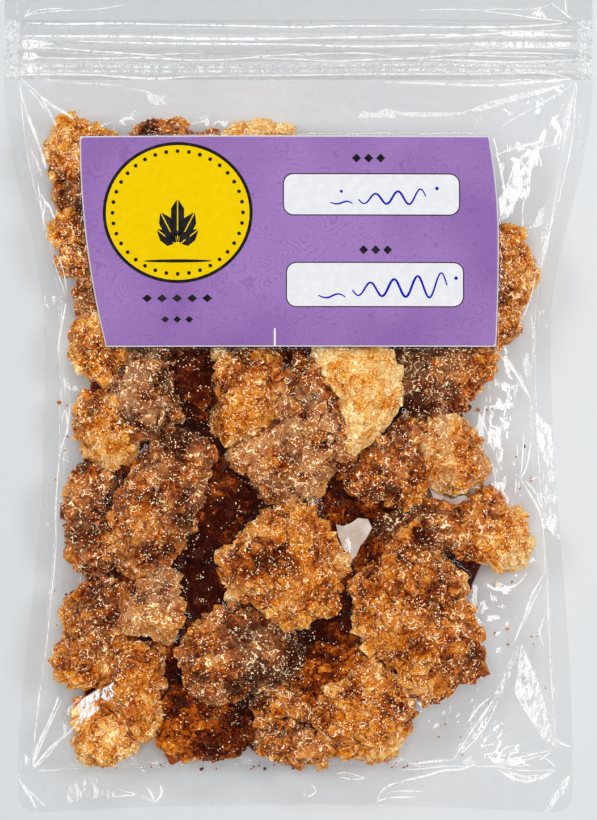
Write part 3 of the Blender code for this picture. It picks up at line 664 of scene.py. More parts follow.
# Folds: ridges over which the film is drawn, as runs of (pixel x, pixel y, height in mm)
RIDGES = [
    [(22, 78, 4.2), (57, 117, 12.5), (70, 128, 16.6)],
    [(22, 80, 4.0), (40, 104, 8.0), (52, 128, 12.0)],
    [(24, 77, 3.8), (90, 81, 4.9), (128, 87, 7.6), (152, 97, 10.8), (160, 112, 14.6)],
    [(34, 120, 5.6), (44, 150, 9.0), (46, 165, 11.5)],
    [(30, 125, 5.4), (38, 160, 6.6), (52, 208, 11.0)],
    [(40, 230, 5.8), (50, 270, 8.6), (66, 294, 11.5)],
    [(40, 290, 5.8), (66, 298, 11.0)],
    [(64, 300, 11.0), (57, 340, 7.6), (64, 372, 8.6), (73, 402, 10.8)],
    [(72, 402, 10.6), (60, 425, 6.8), (70, 440, 10.0)],
    [(68, 440, 9.0), (56, 466, 6.6), (57, 520, 6.8), (57, 560, 6.4), (50, 610, 6.2), (44, 660, 5.8)],
    [(578, 78, 4.0), (536, 92, 6.6), (492, 107, 9.8), (440, 114, 11.6), (396, 111, 10.8), (384, 118, 12.6)],
    [(347, 79, 3.9), (352, 94, 6.4), (372, 110, 10.6)],
    [(577, 84, 4.4), (560, 110, 7.2), (548, 128, 9.0), (530, 175, 12.0), (522, 215, 14.0)],
    [(574, 120, 5.4), (556, 160, 8.2), (545, 205, 9.6), (540, 240, 12.6)],
    [(560, 232, 5.8), (544, 262, 9.2), (537, 290, 12.0)],
    [(500, 352, 14.0), (520, 381, 11.6), (530, 402, 9.8), (557, 434, 6.2)],
    [(512, 384, 12.2), (501, 432, 10.6)],
    [(528, 404, 9.8), (524, 430, 9.0), (521, 479, 9.4)],
    [(540, 420, 8.4), (532, 440, 8.2), (522, 479, 9.4)],
    [(488, 462, 12.0), (521, 479, 9.4), (548, 476, 6.4)],
    [(522, 480, 9.2), (534, 498, 8.2), (546, 520, 6.2)],
    [(536, 560, 12.0), (545, 590, 7.4), (520, 642, 9.8), (491, 698, 11.6), (462, 752, 6.8)],
    [(474, 600, 14.0), (500, 590, 11.0), (540, 576, 7.4)],
    [(520, 644, 9.8), (538, 690, 8.0), (557, 748, 4.8)],
    [(500, 650, 11.8), (520, 644, 9.8)],
    [(494, 697, 11.4), (472, 722, 9.4), (452, 760, 4.8)],
    [(555, 752, 4.0), (516, 758, 4.8), (496, 765, 3.8)],
    [(33, 770, 3.6), (48, 722, 6.6), (58, 697, 9.4), (64, 690, 12.5)],
    [(33, 771, 3.6), (56, 742, 7.8), (76, 720, 13.0), (96, 700, 15.4), (118, 684, 16.2)],
    [(34, 772, 3.6), (60, 752, 7.4), (78, 742, 11.0)],
    [(419, 762, 4.4), (446, 757, 4.6), (476, 761, 3.8)],
    [(150, 744, 12.0), (148, 762, 5.0)],
    [(341, 752, 11.0), (352, 764, 4.8), (380, 768, 3.6)],
]
# Flat creases pressed into the seals and the header: from and to in pixels, and depth in mm
CREASES = [
    [(20, 15), (35, 8), 0.5],
    [(35, 8), (125, 5), 0.35],
    [(20, 16), (14, -6), 0.4],
    [(575, 20), (520, 9), 0.5],
    [(575, 20), (560, 4), 0.6],
    [(520, 9), (485, 8), 0.4],
    [(549, 18), (575, 22), 0.4],
    [(17, 810), (42, 781), 0.6],
    [(61, 804), (80, 781), 0.5],
    [(100, 800), (134, 778), 0.45],
    [(147, 804), (163, 774), 0.45],
    [(337, 783), (366, 774), 0.4],
    [(379, 804), (429, 786), 0.45],
    [(380, 803), (402, 781), 0.45],
    [(497, 772), (530, 785), 0.5],
    [(530, 785), (557, 773), 0.5],
    [(556, 772), (513, 776), 0.4],
    [(548, 814), (572, 776), 0.6],
    [(200, 786), (260, 779), 0.35],
    [(418, 783), (477, 774), 0.35],
    [(308, 775), (360, 779), 0.35],
]
# How wide those are, then the film's fine wrinkles and the pleats along its side seals
CREASE_HALF = 1.3 * MM
WRINKLE_SIZE, WRINKLE_HEIGHT, WRINKLES_IN_SEALS = 6 * MM, 0.28 * MM, 0.25
PLEAT_WIDTH, PLEAT_HEIGHT, PLEAT_REACH = 2.4 * MM, 0.30 * MM, 3.5 * MM
PLEAT_SWAY, PLEAT_SWAY_LENGTH = 2.2, 9 * MM
BACK_CREASES_IN_SEALS, BACK_CREASES = 0.25, 0.5


def pulled(height, held, under, pulls):
    """The film drawn tight: each free point goes to its neighbours' mean, but not below what is under it."""
    film = np.where(held, height, np.maximum(height, under))
    for _ in range(pulls):
        mean = film.copy()
        mean[1:-1, 1:-1] = (film[:-2, 1:-1] + film[2:, 1:-1] + film[1:-1, :-2] + film[1:-1, 2:]) / 4
        film = np.where(held, film, np.maximum(mean, under))
    return film


def stretched(coarse, shape):
    """A coarse grid of heights read between its points on a finer one."""
    rows = np.linspace(0, coarse.shape[0] - 1, shape[0])
    columns = np.linspace(0, coarse.shape[1] - 1, shape[1])
    halfway = np.array([np.interp(columns, np.arange(coarse.shape[1]), row) for row in coarse])
    return np.array([np.interp(rows, np.arange(coarse.shape[0]), column) for column in halfway.T]).T


def taut(height, held, under):
    """The film drawn tight all over: roughly on every third point first, then on them all."""
    step = slice(None, None, COARSE_STEP)
    rough = pulled(height[step, step], held[step, step], under[step, step], COARSE_PULLS)
    return pulled(np.where(held, height, stretched(rough, height.shape)), held, under, FINE_PULLS)


def from_line(x, y, start, end):
    """Distance of each point from a line, and how far along the line its nearest place is, from 0 to 1."""
    run = np.array(end) - np.array(start)
    share = np.clip(((x - start[0]) * run[0] + (y - start[1]) * run[1]) / (run @ run), 0.0, 1.0)
    return np.hypot(x - start[0] - share * run[0], y - start[1] - share * run[1]), share


def ridge_tops(x, y, cell):
    """Heights that the folds' ridges hold the film up to, and 0 away from them."""
    top = np.zeros(x.shape)
    for ridge in RIDGES:
        for (x0, y0, z0), (x1, y1, z1) in zip(ridge, ridge[1:]):
            away, share = from_line(x, y, spot((x0, y0)), spot((x1, y1)))
            top = np.maximum(top, np.where(away < cell, (z0 + (z1 - z0) * share) * MM, 0.0))
    return top


def crease_depth(x, y):
    """Small sharp ridges, each of which fades towards its ends."""
    height = np.zeros(x.shape)
    for start, end, depth in CREASES:
        away, share = from_line(x, y, spot(start), spot(end))
        fading = (4 * share * (1 - share)) ** 0.4
        height = np.maximum(height, depth * MM * np.clip(1 - away / CREASE_HALF, 0, 1) * fading)
    return height


def wrinkles(x, y):
    """Small uneven waves, with sharp crests."""
    height = np.zeros(x.shape)
    for place in np.ndindex(x.shape):
        at = Vector((x[place], y[place], 0.0)) / WRINKLE_SIZE
        height[place] = 1 - 2.4 * abs(noise.noise(at)) + 0.5 * noise.noise(at * 2.7)
    return WRINKLE_HEIGHT * height


def under_label(x, y, margin):
    """Where the film lies against the label."""
    left, right = label_edges(y)
    beside = (x > left - margin) & (x < right + margin)
    return beside & (y > LABEL_BOTTOM - margin) & (y < LABEL_TOP + margin)


def laid_out(across, along):
    """A grid over the pouch: x, y, seam height, distances from sides and base, and where it is sealed."""
    x, y = pouch_grid(across, along)
    left, right = sides(y)
    from_side = np.minimum(x - left, right - x)
    from_base = y - y[:, :1]
    sealed = (from_side < SIDE_SEAL) | (from_base < BASE_SEAL) | (y > SHOULDER_Y)
    return x, y, seam_height(y), from_side, from_base, sealed


def side_pleats(y, from_side):
    """Small pleats that run in from the side seals."""
    run = np.abs(np.sin(y / PLEAT_WIDTH + PLEAT_SWAY * np.sin(y / PLEAT_SWAY_LENGTH)))
    return PLEAT_HEIGHT * run * np.exp(-np.abs(from_side - SIDE_SEAL) / PLEAT_REACH)


def sheet(name, x, y, z, marks, material):
    """A grid of faces with a height at each point. marks are numbers for each point, by name."""
    across, along = x.shape[0] - 1, x.shape[1] - 1
    shape = bmesh.new()
    bmesh.ops.create_grid(shape, x_segments=across, y_segments=along, size=1.0)
    layers = {key: shape.verts.layers.float.new(key) for key in marks}
    for vertex in shape.verts:
        i = round((vertex.co.x + 1) / 2 * across)
        j = round((vertex.co.y + 1) / 2 * along)
        vertex.co = (x[i, j], y[i, j], z[i, j])
        for key, values in marks.items():
            vertex[layers[key]] = values[i, j]
    mesh = mesh_of(name, shape)
    mesh.shade_smooth()
    return new_piece(name, mesh, material)


def make_film(candy, material):
    """The front and the back of the pouch."""
    x, y, seam, from_side, from_base, sealed = laid_out(FILM_ACROSS, FILM_ALONG)
    carded = under_label(x, y, LABEL_MARGIN)
    start = np.where(carded, label_height(x, y) - LABEL_REST, seam + SEAL_GAP / 2)
    heap = candy_reach(candy, x, y, 1)
    under = np.maximum(heap, ridge_tops(x, y, RIDGE_CELL))
    tight = taut(start, sealed | carded, under)
    slack = pulled(np.where(heap > 0, heap, tight), sealed | carded, heap, SLACK_PULLS)
    front = tight + CLING * (np.minimum(slack, tight) - tight)
    loose = 1 - eased(1 - (from_side - SIDE_SEAL) / LOOSE_EDGE)
    wave = wrinkles(x, y)
    free = ~(sealed | carded)
    front = np.where(free, np.maximum(front + wave * loose + side_pleats(y, from_side), heap), front)
    front = np.where(sealed, front + crease_depth(x, y) + WRINKLES_IN_SEALS * wave, front)
    front = np.where(carded, start, front)
    rest = np.where(free & (heap > 0), np.clip(1 - (front - heap) / REST_REACH, 0, 1), 0.0)
    marks = {"seal": sealed.astype(float), "rest": rest, "header": (y > ZIP_TOP - 2 * MM).astype(float)}
    film = sheet("film_front", x, y, front, marks, material)

    x, y, seam, from_side, from_base, sealed = laid_out(BACK_ACROSS, BACK_ALONG)
    inward = np.minimum(from_side - SIDE_SEAL, np.minimum(from_base - BASE_SEAL, SHOULDER_Y - y))
    smooth = np.maximum((seam - SEAL_GAP / 2) * (1 - eased(inward / UNDERSIDE_RAMP)), BACK_HEIGHT)
    heap = candy_reach(candy, x, y, -1)
    smooth = np.where(sealed, smooth, -pulled(-smooth, sealed, -np.minimum(smooth, heap), BACK_PULLS))
    pressed = np.where(sealed, BACK_CREASES_IN_SEALS, BACK_CREASES)
    smooth = np.maximum(smooth + pressed * crease_depth(x, y), BACK_HEIGHT)
    marks = {"seal": sealed.astype(float)}
    back = sheet("film_back", x, y, smooth, marks, material)
    film_piece(film)
    film_piece(back)
    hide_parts("pouch")
    return film


# Painted highlights on the film, as white streaks along its folds: how wide they are at most, and their run,
# all in the photograph's pixels
HIGHLIGHT_STREAKS = [
    (1.3, [(22, 15.3), (34.4, 8.6), (46, 6.7), (62, 6.2)]),
    (1.0, [(23, 14.6), (34.4, 11.5), (58, 8.6), (80, 7.7)]),
    (0.8, [(80, 7.7), (100, 6.4), (124, 2.3)]),
    (0.9, [(15.7, 13.4), (15.5, 0)]),
    (0.9, [(23, 14.3), (32.5, 2)]),
    (1.3, [(484.5, 7.7), (503, 6.6), (522.8, 7.3), (542, 5.7), (551.5, 2)]),
    (1.6, [(484.5, 9.2), (510, 11.8), (536, 15.7), (568.7, 20)]),
    (2.0, [(553.4, 1), (562, 8), (575.4, 19)]),
    (1.4, [(566.8, -2), (567.7, 11.5)]),
    (0.9, [(420, 8), (450, 7), (484, 8)]),
    (2.2, [(24.9, 20.7), (45, 21.8), (67, 22.2), (114.8, 21.4), (168, 22.6)]),
    (2.0, [(150, 22.2), (229.6, 23.7), (300, 25.2), (335, 24.1), (392.7, 24.1), (450, 25.3)]),
    (2.0, [(430, 25), (507.5, 24.9), (551.5, 22.6), (568.7, 20.7)]),
    (2.2, [(21, 34), (67, 34.4), (134, 34.8), (191, 36.4)]),
    (3.0, [(150, 35), (191, 36.6), (249, 37), (300, 36.4)]),
    (2.2, [(280, 36.6), (345, 35.4), (383, 34.8), (425, 32.5), (469, 33), (507.5, 30.8)]),
    (2.0, [(440, 35.8), (507.5, 30.6), (540, 31), (574, 34.8)]),
    (1.4, [(480, 28), (520, 29), (574, 28)]),
    (2.2, [(75, 39.4), (115, 40.6), (172, 41.5), (230, 42), (300, 42.5)]),
    (2.0, [(280, 42.2), (354, 44.4), (412, 44), (469, 42.5)]),
    (1.5, [(23, 46), (57, 46.3), (95.7, 49.4), (134, 52), (153, 53.2), (172, 52), (201, 51.7)]),
    (1.5, [(30.6, 55), (63, 56.6), (107, 56.6), (143.5, 55.9), (191, 58.2), (229.6, 57.4), (268, 54),
     (310, 51.5)]),
    (1.7, [(250, 55.8), (297, 57.4), (335, 58.9), (377, 57.4), (421, 55.9), (459.6, 53.2), (507.5, 54.5),
     (542, 55.1)]),
    (1.5, [(419.4, 57.8), (460, 58.4), (503.6, 60), (540, 59.4), (574.4, 58.4)]),
    (1.2, [(455, 51.6), (520, 51), (568, 52)]),
    (1.0, [(297, 54), (325.7, 51.7), (364, 51.3), (404, 55.9)]),
    (2.4, [(17, 64), (100, 64.6), (200, 65.5), (320, 64)]),
    (2.0, [(300, 64.5), (400, 63), (500, 64), (576, 64.4)]),
    (2.6, [(17, 69), (110, 69.6), (210, 69.6), (330, 68.8)]),
    (2.4, [(300, 69), (420, 68), (500, 68.4), (576, 69)]),
    (1.8, [(17, 72.6), (67, 72.6), (107, 73.7)]),
    (2.6, [(95, 73.2), (134, 76.1), (162.6, 76.5), (191, 74.6)]),
    (1.7, [(180, 75), (248.7, 73.9), (300, 73.5), (373.5, 72.5), (469, 72.2), (536, 71.2)]),
    (1.5, [(520, 71), (550, 71.6), (570.6, 75.6)]),
    (2.6, [(379, 80.4), (431, 81.9), (469, 83.8), (507.5, 83.8)]),
    (2.6, [(495, 84), (545.7, 79.8), (572.5, 77.2)]),
    (2.0, [(19, 76), (31, 87), (47.8, 103.3), (56, 109)]),
    (3.4, [(40, 95), (55, 107), (70, 116.5), (74, 120)]),
    (3.0, [(40, 96), (47, 108), (53, 119), (57, 127)]),
    (1.4, [(22, 82), (36, 97), (46, 112)]),
    (1.0, [(32.5, 75.6), (76.5, 81.3), (114.8, 84.2), (134, 89)]),
    (1.5, [(134, 89), (145, 91), (158.8, 96.6), (167, 94)]),
    (1.2, [(17, 80), (22, 99.5), (28.7, 118.6), (35, 131)]),
    (3.6, [(27, 114), (32, 128.7), (36, 137), (39, 146)]),
    (2.2, [(29.5, 146), (33, 155), (37, 162), (38, 170)]),
    (2.4, [(38.3, 143), (43, 156), (46.5, 170)]),
    (1.8, [(34, 174), (39, 168), (41.5, 176.6)]),
    (2.0, [(36.7, 186), (41, 195), (44.7, 202), (43, 212), (42.3, 226)]),
    (2.4, [(45, 200), (50, 208), (55, 219)]),
    (1.8, [(37, 182), (40, 204), (43, 230)]),
    (2.4, [(66, 303), (63, 318), (59.5, 333), (57.5, 350), (59, 362)]),
    (1.0, [(58, 255), (64, 272), (67, 292)]),
    (0.9, [(47, 232), (54, 262), (66, 296)]),
    (1.1, [(560.8, 176), (554.7, 204.5), (550, 232)]),
    (2.2, [(550, 233), (544.7, 252), (542.4, 266)]),
    (1.6, [(542.4, 262), (540.5, 276), (538.6, 291)]),
    (1.4, [(531.7, 312), (534, 340), (533.5, 362)]),
    (1.0, [(536, 270), (530, 300), (519, 325)]),
    (1.8, [(577, 84), (571, 110), (563, 150)]),
    (1.6, [(499.5, 355.5), (514.8, 373.4), (522.5, 386)]),
    (3.0, [(508, 360), (516, 374), (523, 386), (531, 399)]),
    (2.4, [(509.7, 384), (505.9, 404), (500.8, 430)]),
    (1.7, [(523.8, 434.6), (522.5, 457.6), (520.6, 478)]),
    (1.9, [(531.4, 440), (527.6, 464), (521.2, 478)]),
    (2.2, [(528.9, 480.5), (535, 478), (541, 476.5)]),
    (1.5, [(491, 462), (493.1, 470), (495.7, 484)]),
    (2.2, [(519.9, 478), (531.4, 495.9), (540.3, 512.4), (544, 530)]),
    (1.4, [(525, 480.5), (535.2, 492), (542.9, 510)]),
    (1.0, [(544, 532), (545, 555), (546, 577)]),
    (3.4, [(484, 582), (493, 588), (503, 588), (515, 585)]),
    (1.6, [(505, 587), (518, 583), (527, 573)]),
    (2.2, [(546, 572), (533, 593), (524, 617), (514, 642)]),
    (1.3, [(543, 584), (532, 605), (522, 628)]),
    (1.4, [(545.6, 616), (540, 633), (544, 645)]),
    (1.0, [(547, 577), (550, 633), (553, 690), (557, 750)]),
    (1.6, [(496, 696), (484, 712), (470, 734), (454, 761)]),
    (1.6, [(498, 700), (488, 722), (474, 742), (454, 761)]),
    (2.6, [(490, 697), (478, 707), (468, 722)]),
    (1.6, [(492, 700), (483, 716), (474, 728)]),
    (2.4, [(453.9, 761.3), (438.6, 762.3), (419.4, 764.6), (408, 765)]),
    (2.8, [(402, 783), (419.4, 779.5), (438.6, 774.5)]),
    (2.4, [(430, 776), (445, 772.5), (462, 771.2), (477, 766)]),
    (1.4, [(400, 772), (420, 771), (450, 768)]),
    (1.7, [(495, 765), (511.3, 761.3), (534.2, 755.6), (555.3, 751.7)]),
    (1.2, [(495, 766.5), (520, 763), (543, 757)]),
    (1.2, [(540, 762.3), (546, 758), (551.5, 754.6)]),
    (1.6, [(545.7, 759.4), (552, 764), (557.2, 770)]),
    (1.2, [(494, 768), (526.6, 772.5), (557.2, 771.8)]),
    (3.0, [(499.8, 771.8), (517, 781.4), (530.4, 784.6)]),
    (2.6, [(524, 784), (543.8, 779.5), (557.2, 771.8)]),
    (1.4, [(508, 773), (524, 778), (540, 777)]),
    (2.2, [(557.2, 739.3), (562, 745), (573, 749)]),
    (2.4, [(377.4, 804.4), (381.2, 794.8), (390.7, 787), (404, 784.3)]),
    (2.6, [(377.4, 803.4), (392.7, 799.6), (415.6, 799.6)]),
    (1.6, [(386, 796), (400, 793), (424, 794)]),
    (2.2, [(337.2, 775.7), (346.7, 774.7), (364, 779.5)]),
    (2.0, [(340, 779), (354, 781.4), (366, 780)]),
    (1.6, [(301.8, 794.8), (308.5, 798.6), (316, 792.9), (310.4, 785.2)]),
    (2.8, [(58.4, 697.2), (51.7, 714.4), (44, 731.7), (35.4, 750.8), (31.6, 768)]),
    (1.6, [(61.2, 701), (50, 724), (40, 747), (33, 764)]),
    (3.4, [(31.6, 770), (47.8, 750.8), (63, 737.4), (76, 725)]),
    (1.4, [(31.6, 771), (44, 760), (58, 744)]),
    (2.2, [(116.7, 691.5), (111, 686), (115, 681)]),
    (3.0, [(19, 784), (24, 792), (28.7, 798.6), (34.4, 811)]),
    (1.5, [(24.9, 790), (34, 799), (44, 809)]),
    (2.0, [(17.2, 775), (19, 784), (25, 791)]),
    (1.4, [(136.8, 797), (145, 800), (153, 804.4)]),
    (2.2, [(146.4, 790), (151, 797), (153, 804.4)]),
    (2.2, [(158.8, 785.2), (160.7, 796), (153, 805)]),
    (1.8, [(139.7, 771.8), (145.4, 773.8)]),
    (1.4, [(118, 792), (134, 796.7), (110, 799)]),
    (1.9, [(71, 402), (68.5, 418), (67, 430), (60, 450), (57.6, 465)]),
    (1.8, [(60.3, 424), (65.6, 410), (68, 434)]),
    (1.8, [(57.6, 464), (55, 507), (55.4, 545)]),
    (1.5, [(56, 540), (53, 575), (49.6, 603.6)]),
    (1.6, [(51, 590), (47.5, 630), (44.2, 660)]),
    (1.1, [(43, 660), (38, 700), (33, 742), (31, 768)]),
    (2.0, [(494, 157), (515, 148), (535, 144), (556, 142)]),
    (2.2, [(558, 143), (530, 152), (515, 166), (503, 196)]),
    (1.4, [(573, 84), (540, 104), (512, 120), (498, 130)]),
    (1.6, [(560, 212), (552, 224), (548, 246), (543, 262)]),
]
# Painted highlights in broad patches on creased film: how much of each is broken up, and its outline in the
# photograph's pixels
HIGHLIGHT_PATCHES = [
    (0.3, [(21, 49), (33, 50), (39, 55), (30, 59), (20, 58)]),
    (0.4, [(20, 62), (33, 60), (44, 66), (30, 72), (18, 72)]),
    (0.2, [(20, 37.3), (30, 37), (46, 39.2), (64, 41.6), (44, 44), (28, 48), (20, 46)]),
    (0.3, [(455, 41), (480, 39.2), (520, 39), (572, 39.6), (573, 45), (540, 46.8), (480, 44.6)]),
    (0.2, [(531, 12), (540, 5.5), (544, 9), (548, 15), (556, 18), (541, 15.5)]),
    (0.3, [(500, 32), (520, 29.5), (560, 31.5), (574, 36), (545, 35.5), (515, 36)]),
    (0.25, [(146, 92), (158.8, 97.5), (167.4, 93.7), (163.5, 100), (167.4, 104.8), (155, 106.2),
     (148, 101)]),
    (0.2, [(362, 111), (376, 113), (386, 108), (393, 109), (396, 117), (400, 120), (385, 119.5),
     (356, 119)]),
    (0.15, [(388, 108), (400, 112), (430, 112.5), (452, 112.5), (467, 111), (468, 114), (440, 118),
     (412, 118), (398, 116)]),
    (0.25, [(462, 112), (490, 101), (520, 92), (573, 80.5), (545, 92), (505, 104), (480, 112)]),
    (0.7, [(464, 117), (480, 115), (486, 121), (476, 127), (492, 134), (470, 132), (472, 124)]),
    (0.3, [(574, 90), (578, 102), (573, 112), (570, 138), (564, 138), (563, 118), (567, 104)]),
    (0.6, [(578, 112), (586, 112), (584, 150), (578, 150)]),
    (0.75, [(16, 152), (21, 152), (26, 168), (26, 184), (22, 182)]),
    (0.25, [(543, 128), (548, 130), (534, 164), (522, 192), (507, 219), (499.5, 222), (497, 200),
     (507, 186), (528, 160)]),
    (0.35, [(527, 229), (534, 222), (538, 211), (545.5, 204), (548, 213), (544, 224), (549, 234),
     (541, 226), (533, 229)]),
    (0.7, [(536, 310), (548, 309), (550, 325), (546, 335), (538, 328)]),
    (0.4, [(522, 361), (528.9, 358), (534, 366), (533.4, 374.7), (527.6, 379), (524.4, 370)]),
    (0.35, [(530, 399), (539, 414), (555, 429.5), (557.6, 452), (546, 466), (539, 445), (532, 436),
     (530, 419)]),
    (0.5, [(545, 446), (557.6, 452), (559.5, 480.5), (560.8, 530), (544, 530), (541.6, 512), (535, 500),
     (543, 483)]),
    (0.5, [(560, 530), (562, 543), (552, 534), (546, 524)]),
    (0.35, [(521, 640), (528, 656), (539, 683), (548, 710), (557, 749), (545, 742), (533, 724), (522, 708),
     (514, 692), (517, 670), (519, 655)]),
    (0.5, [(519, 642), (513, 650), (504, 672), (494, 693), (498, 699), (504, 690), (510, 676), (518, 655)]),
    (0.75, [(488, 697), (477, 709), (465, 726), (459, 743), (454, 761), (469, 745), (481, 735), (488, 722),
     (497, 706)]),
    (0.3, [(461.5, 764), (471, 756), (477, 764), (469, 769)]),
    (0.5, [(500, 772), (530.4, 786), (557, 772.4), (532, 779)]),
    (0.4, [(572.5, 774), (565, 781), (555.3, 795), (547.6, 812), (552.4, 813), (560, 800), (567, 797),
     (570, 787)]),
    (0.75, [(549, 604), (556, 610), (566, 628), (560, 624)]),
    (0.3, [(73.7, 726), (80, 715), (77, 705), (84, 697), (95.7, 690), (107, 684.6), (115, 681.5),
     (112, 690), (116, 693), (109, 701), (101.4, 696.3), (94, 705), (103.3, 705), (92, 715.4),
     (82.3, 722)]),
    (0.5, [(63, 737.4), (62.2, 722), (67, 708.7), (78.4, 696.3), (84, 694), (73, 708), (67, 720),
     (70, 729)]),
    (0.6, [(18, 758), (24, 756), (29, 762), (26, 770), (18, 770)]),
    (0.55, [(61.2, 796.7), (68.9, 787), (84.2, 777.6), (94, 775.5), (100, 787), (115, 794.8), (134, 796.7),
     (107, 801.5), (84.2, 799.6), (68, 805.3)]),
    (0.6, [(43, 294), (49, 293), (57, 297), (66, 300), (58, 303.5), (50, 309), (43, 306)]),
    (0.8, [(37, 486), (50, 486), (48, 534), (38, 534)]),
    (0.7, [(472, 603), (486, 598), (484, 608), (473, 617)]),
    (0.6, [(198, 118), (208, 112), (212, 122), (202, 128)]),
    (0.65, [(130, 110), (137, 108), (137, 113), (131, 114)]),
]
# Where the heap has holes, with pale sheets in them as painted light
GAPS = [
    [(336, 524), (343, 526), (351, 523), (358, 518), (368, 519), (372, 528), (366, 539), (360, 546),
     (356, 556), (351, 560), (346, 553), (342, 545), (338, 535)],
    [(430, 489), (440, 495), (452, 499), (464, 495), (470, 499), (460, 506), (446, 505), (434, 500)],
]
GAP_DEPTH = 5.5 * MM
# How the painted highlights lie on the film: their lift, a streak's step and halo, a patch's grid and its
# soft rim
FOLD_LIFT = 0.06 * MM
FOLD_STEP, FOLD_HALO = 2.0, 1.7
FOLD_CELL = 0.6 * MM
FOLD_SOFT = 0.42 * MM
# The streaks on the knurled band, between these rows of the photograph, are more broken up than the others
KNURL_ROWS = (62, 70.5)
BROKEN_ON_KNURL, BROKEN_ELSEWHERE = 0.5, 0.12


def fold_heights(pieces):
    """A function that gives the height of these pieces' upper side at a place."""
    tree = all_of(pieces)

    def height(x, y):
        hit = tree.ray_cast(Vector((x, y, RAY_HEIGHT)), Vector((0, 0, -1)))[0]
        return (hit.z if hit is not None else SEAM_AT_ZIP) + FOLD_LIFT

    return height


def smooth_run(points):
    """A smooth line through these points, as points about FOLD_STEP pixels apart."""
    path = np.array([points[0], *points, points[-1]], float)
    run = []
    for before, start, end, after in zip(path, path[1:], path[2:], path[3:]):
        steps = max(2, int(np.hypot(*(end - start)) / FOLD_STEP))
        for t in np.linspace(0, 1, steps, endpoint=False):
            bend = (-before + 3 * start - 3 * end + after) * t**3
            turn = (2 * before - 5 * start + 4 * end - after) * t**2
            run.append(start + 0.5 * (bend + turn + (end - before) * t))
    return np.array([*run, path[-1]])


def rim_distance(x, y, outline):
    """How far a point is from the nearest part of an outline."""
    ring = [spot(pixel) for pixel in outline]
    return min(from_line(x, y, start, end)[0] for start, end in zip(ring, ring[1:] + ring[:1]))


def sideways(path):
    """The way to one side at each point of a path, as steps one unit long."""
    along = np.gradient(path, axis=0)
    return np.stack([-along[:, 1], along[:, 0]], axis=1) / np.maximum(np.hypot(*along.T), 1e-6)[:, None]


def make_painted_highlights(pieces, material):
    """Painted highlights on the film's folds and creased patches, as thin white shapes that lie on it."""
    height = fold_heights(pieces)
    highlights = bmesh.new()
    broken = highlights.verts.layers.float.new("broken")
    middle = highlights.verts.layers.float.new("middle")
    for order, (width, points) in enumerate(HIGHLIGHT_STREAKS):
        path = smooth_run(points)
        aside = sideways(path)
        on_knurl = all(KNURL_ROWS[0] < y < KNURL_ROWS[1] for _, y in points)
        rows = []
        for step, (pixel, way) in enumerate(zip(path, aside)):
            share = step / (len(path) - 1)
            wavy = 0.75 + 0.6 * noise.noise(Vector((step * 0.23, order * 3.1, 0)))
            half = 0.5 * width * wavy * math.sin(math.pi * (0.04 + 0.92 * share)) ** 0.6
            places = [spot(pixel + way * half * FOLD_HALO * side) for side in (-1, 0, 1)]
            level = max(height(x, y) for x, y in places)
            row = [highlights.verts.new((x, y, level)) for x, y in places]
            for point, inside in zip(row, (0.0, 1.0, 0.0)):
                point[broken] = BROKEN_ON_KNURL if on_knurl else BROKEN_ELSEWHERE
                point[middle] = inside
            rows.append(row)
        for one, two in zip(rows, rows[1:]):
            for side in (0, 1):
                highlights.faces.new((one[side], one[side + 1], two[side + 1], two[side]))
    for share, outline in HIGHLIGHT_PATCHES:
        patch = flat_shape([outline])
        cut_in_cells(patch, FOLD_CELL)
        twin = {}
        for vertex in patch.verts:
            point = highlights.verts.new((vertex.co.x, vertex.co.y, height(vertex.co.x, vertex.co.y)))
            point[broken] = share
            point[middle] = min(1.0, rim_distance(vertex.co.x, vertex.co.y, outline) / FOLD_SOFT)
            twin[vertex] = point
        for face in patch.faces:
            highlights.faces.new([twin[vertex] for vertex in face.verts])
        patch.free()
    mesh = mesh_of("film_painted_highlights", highlights)
    mesh.shade_smooth()
    film_piece(new_piece("film_painted_highlights", mesh, material), mirrored=False)


def make_gap_light(front, material):
    """Pale sheets of painted light, coloured as if lit through the sugar, that show where the heap has a
    hole.
    """
    height = fold_heights([front])
    pockets = flat_shape(GAPS)
    cut_in_cells(pockets, FOLD_CELL)
    for vertex in pockets.verts:
        vertex.co.z = height(vertex.co.x, vertex.co.y) - GAP_DEPTH
    mesh = mesh_of("painted_gap_light", pockets)
    mesh.shade_smooth()
    piece = new_piece("painted_gap_light", mesh, material)
    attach(piece, "root")


def flat_shape(loops):
    """Flat closed loops of pixels, filled. A loop inside another is a hole."""
    outline = bpy.data.curves.new("outline", "CURVE")
    outline.dimensions = "2D"
    outline.fill_mode = "BOTH"
    for loop in loops:
        run = outline.splines.new("POLY")
        run.points.add(len(loop) - 1)
        for point, pixel in zip(run.points, loop):
            point.co = (*spot(pixel), 0.0, 1.0)
        run.use_cyclic_u = True
    flat = new_piece("outline", outline)
    mesh = bpy.data.meshes.new_from_object(flat.evaluated_get(bpy.context.evaluated_depsgraph_get()))
    bpy.data.objects.remove(flat)
    bpy.data.curves.remove(outline)
    shape = bmesh.new()
    shape.from_mesh(mesh)
    bpy.data.meshes.remove(mesh)
    return shape


def cut_in_cells(shape, cell):
    """Cuts a flat shape along a square grid, so that it can bend."""
    for axis in (0, 1):
        places = [vertex.co[axis] for vertex in shape.verts]
        normal = Vector((1, 0, 0)) if axis == 0 else Vector((0, 1, 0))
        for cut in np.arange(min(places) + cell, max(places), cell):
            everything = shape.verts[:] + shape.edges[:] + shape.faces[:]
            bmesh.ops.bisect_plane(shape, geom=everything, plane_co=normal * cut, plane_no=normal)


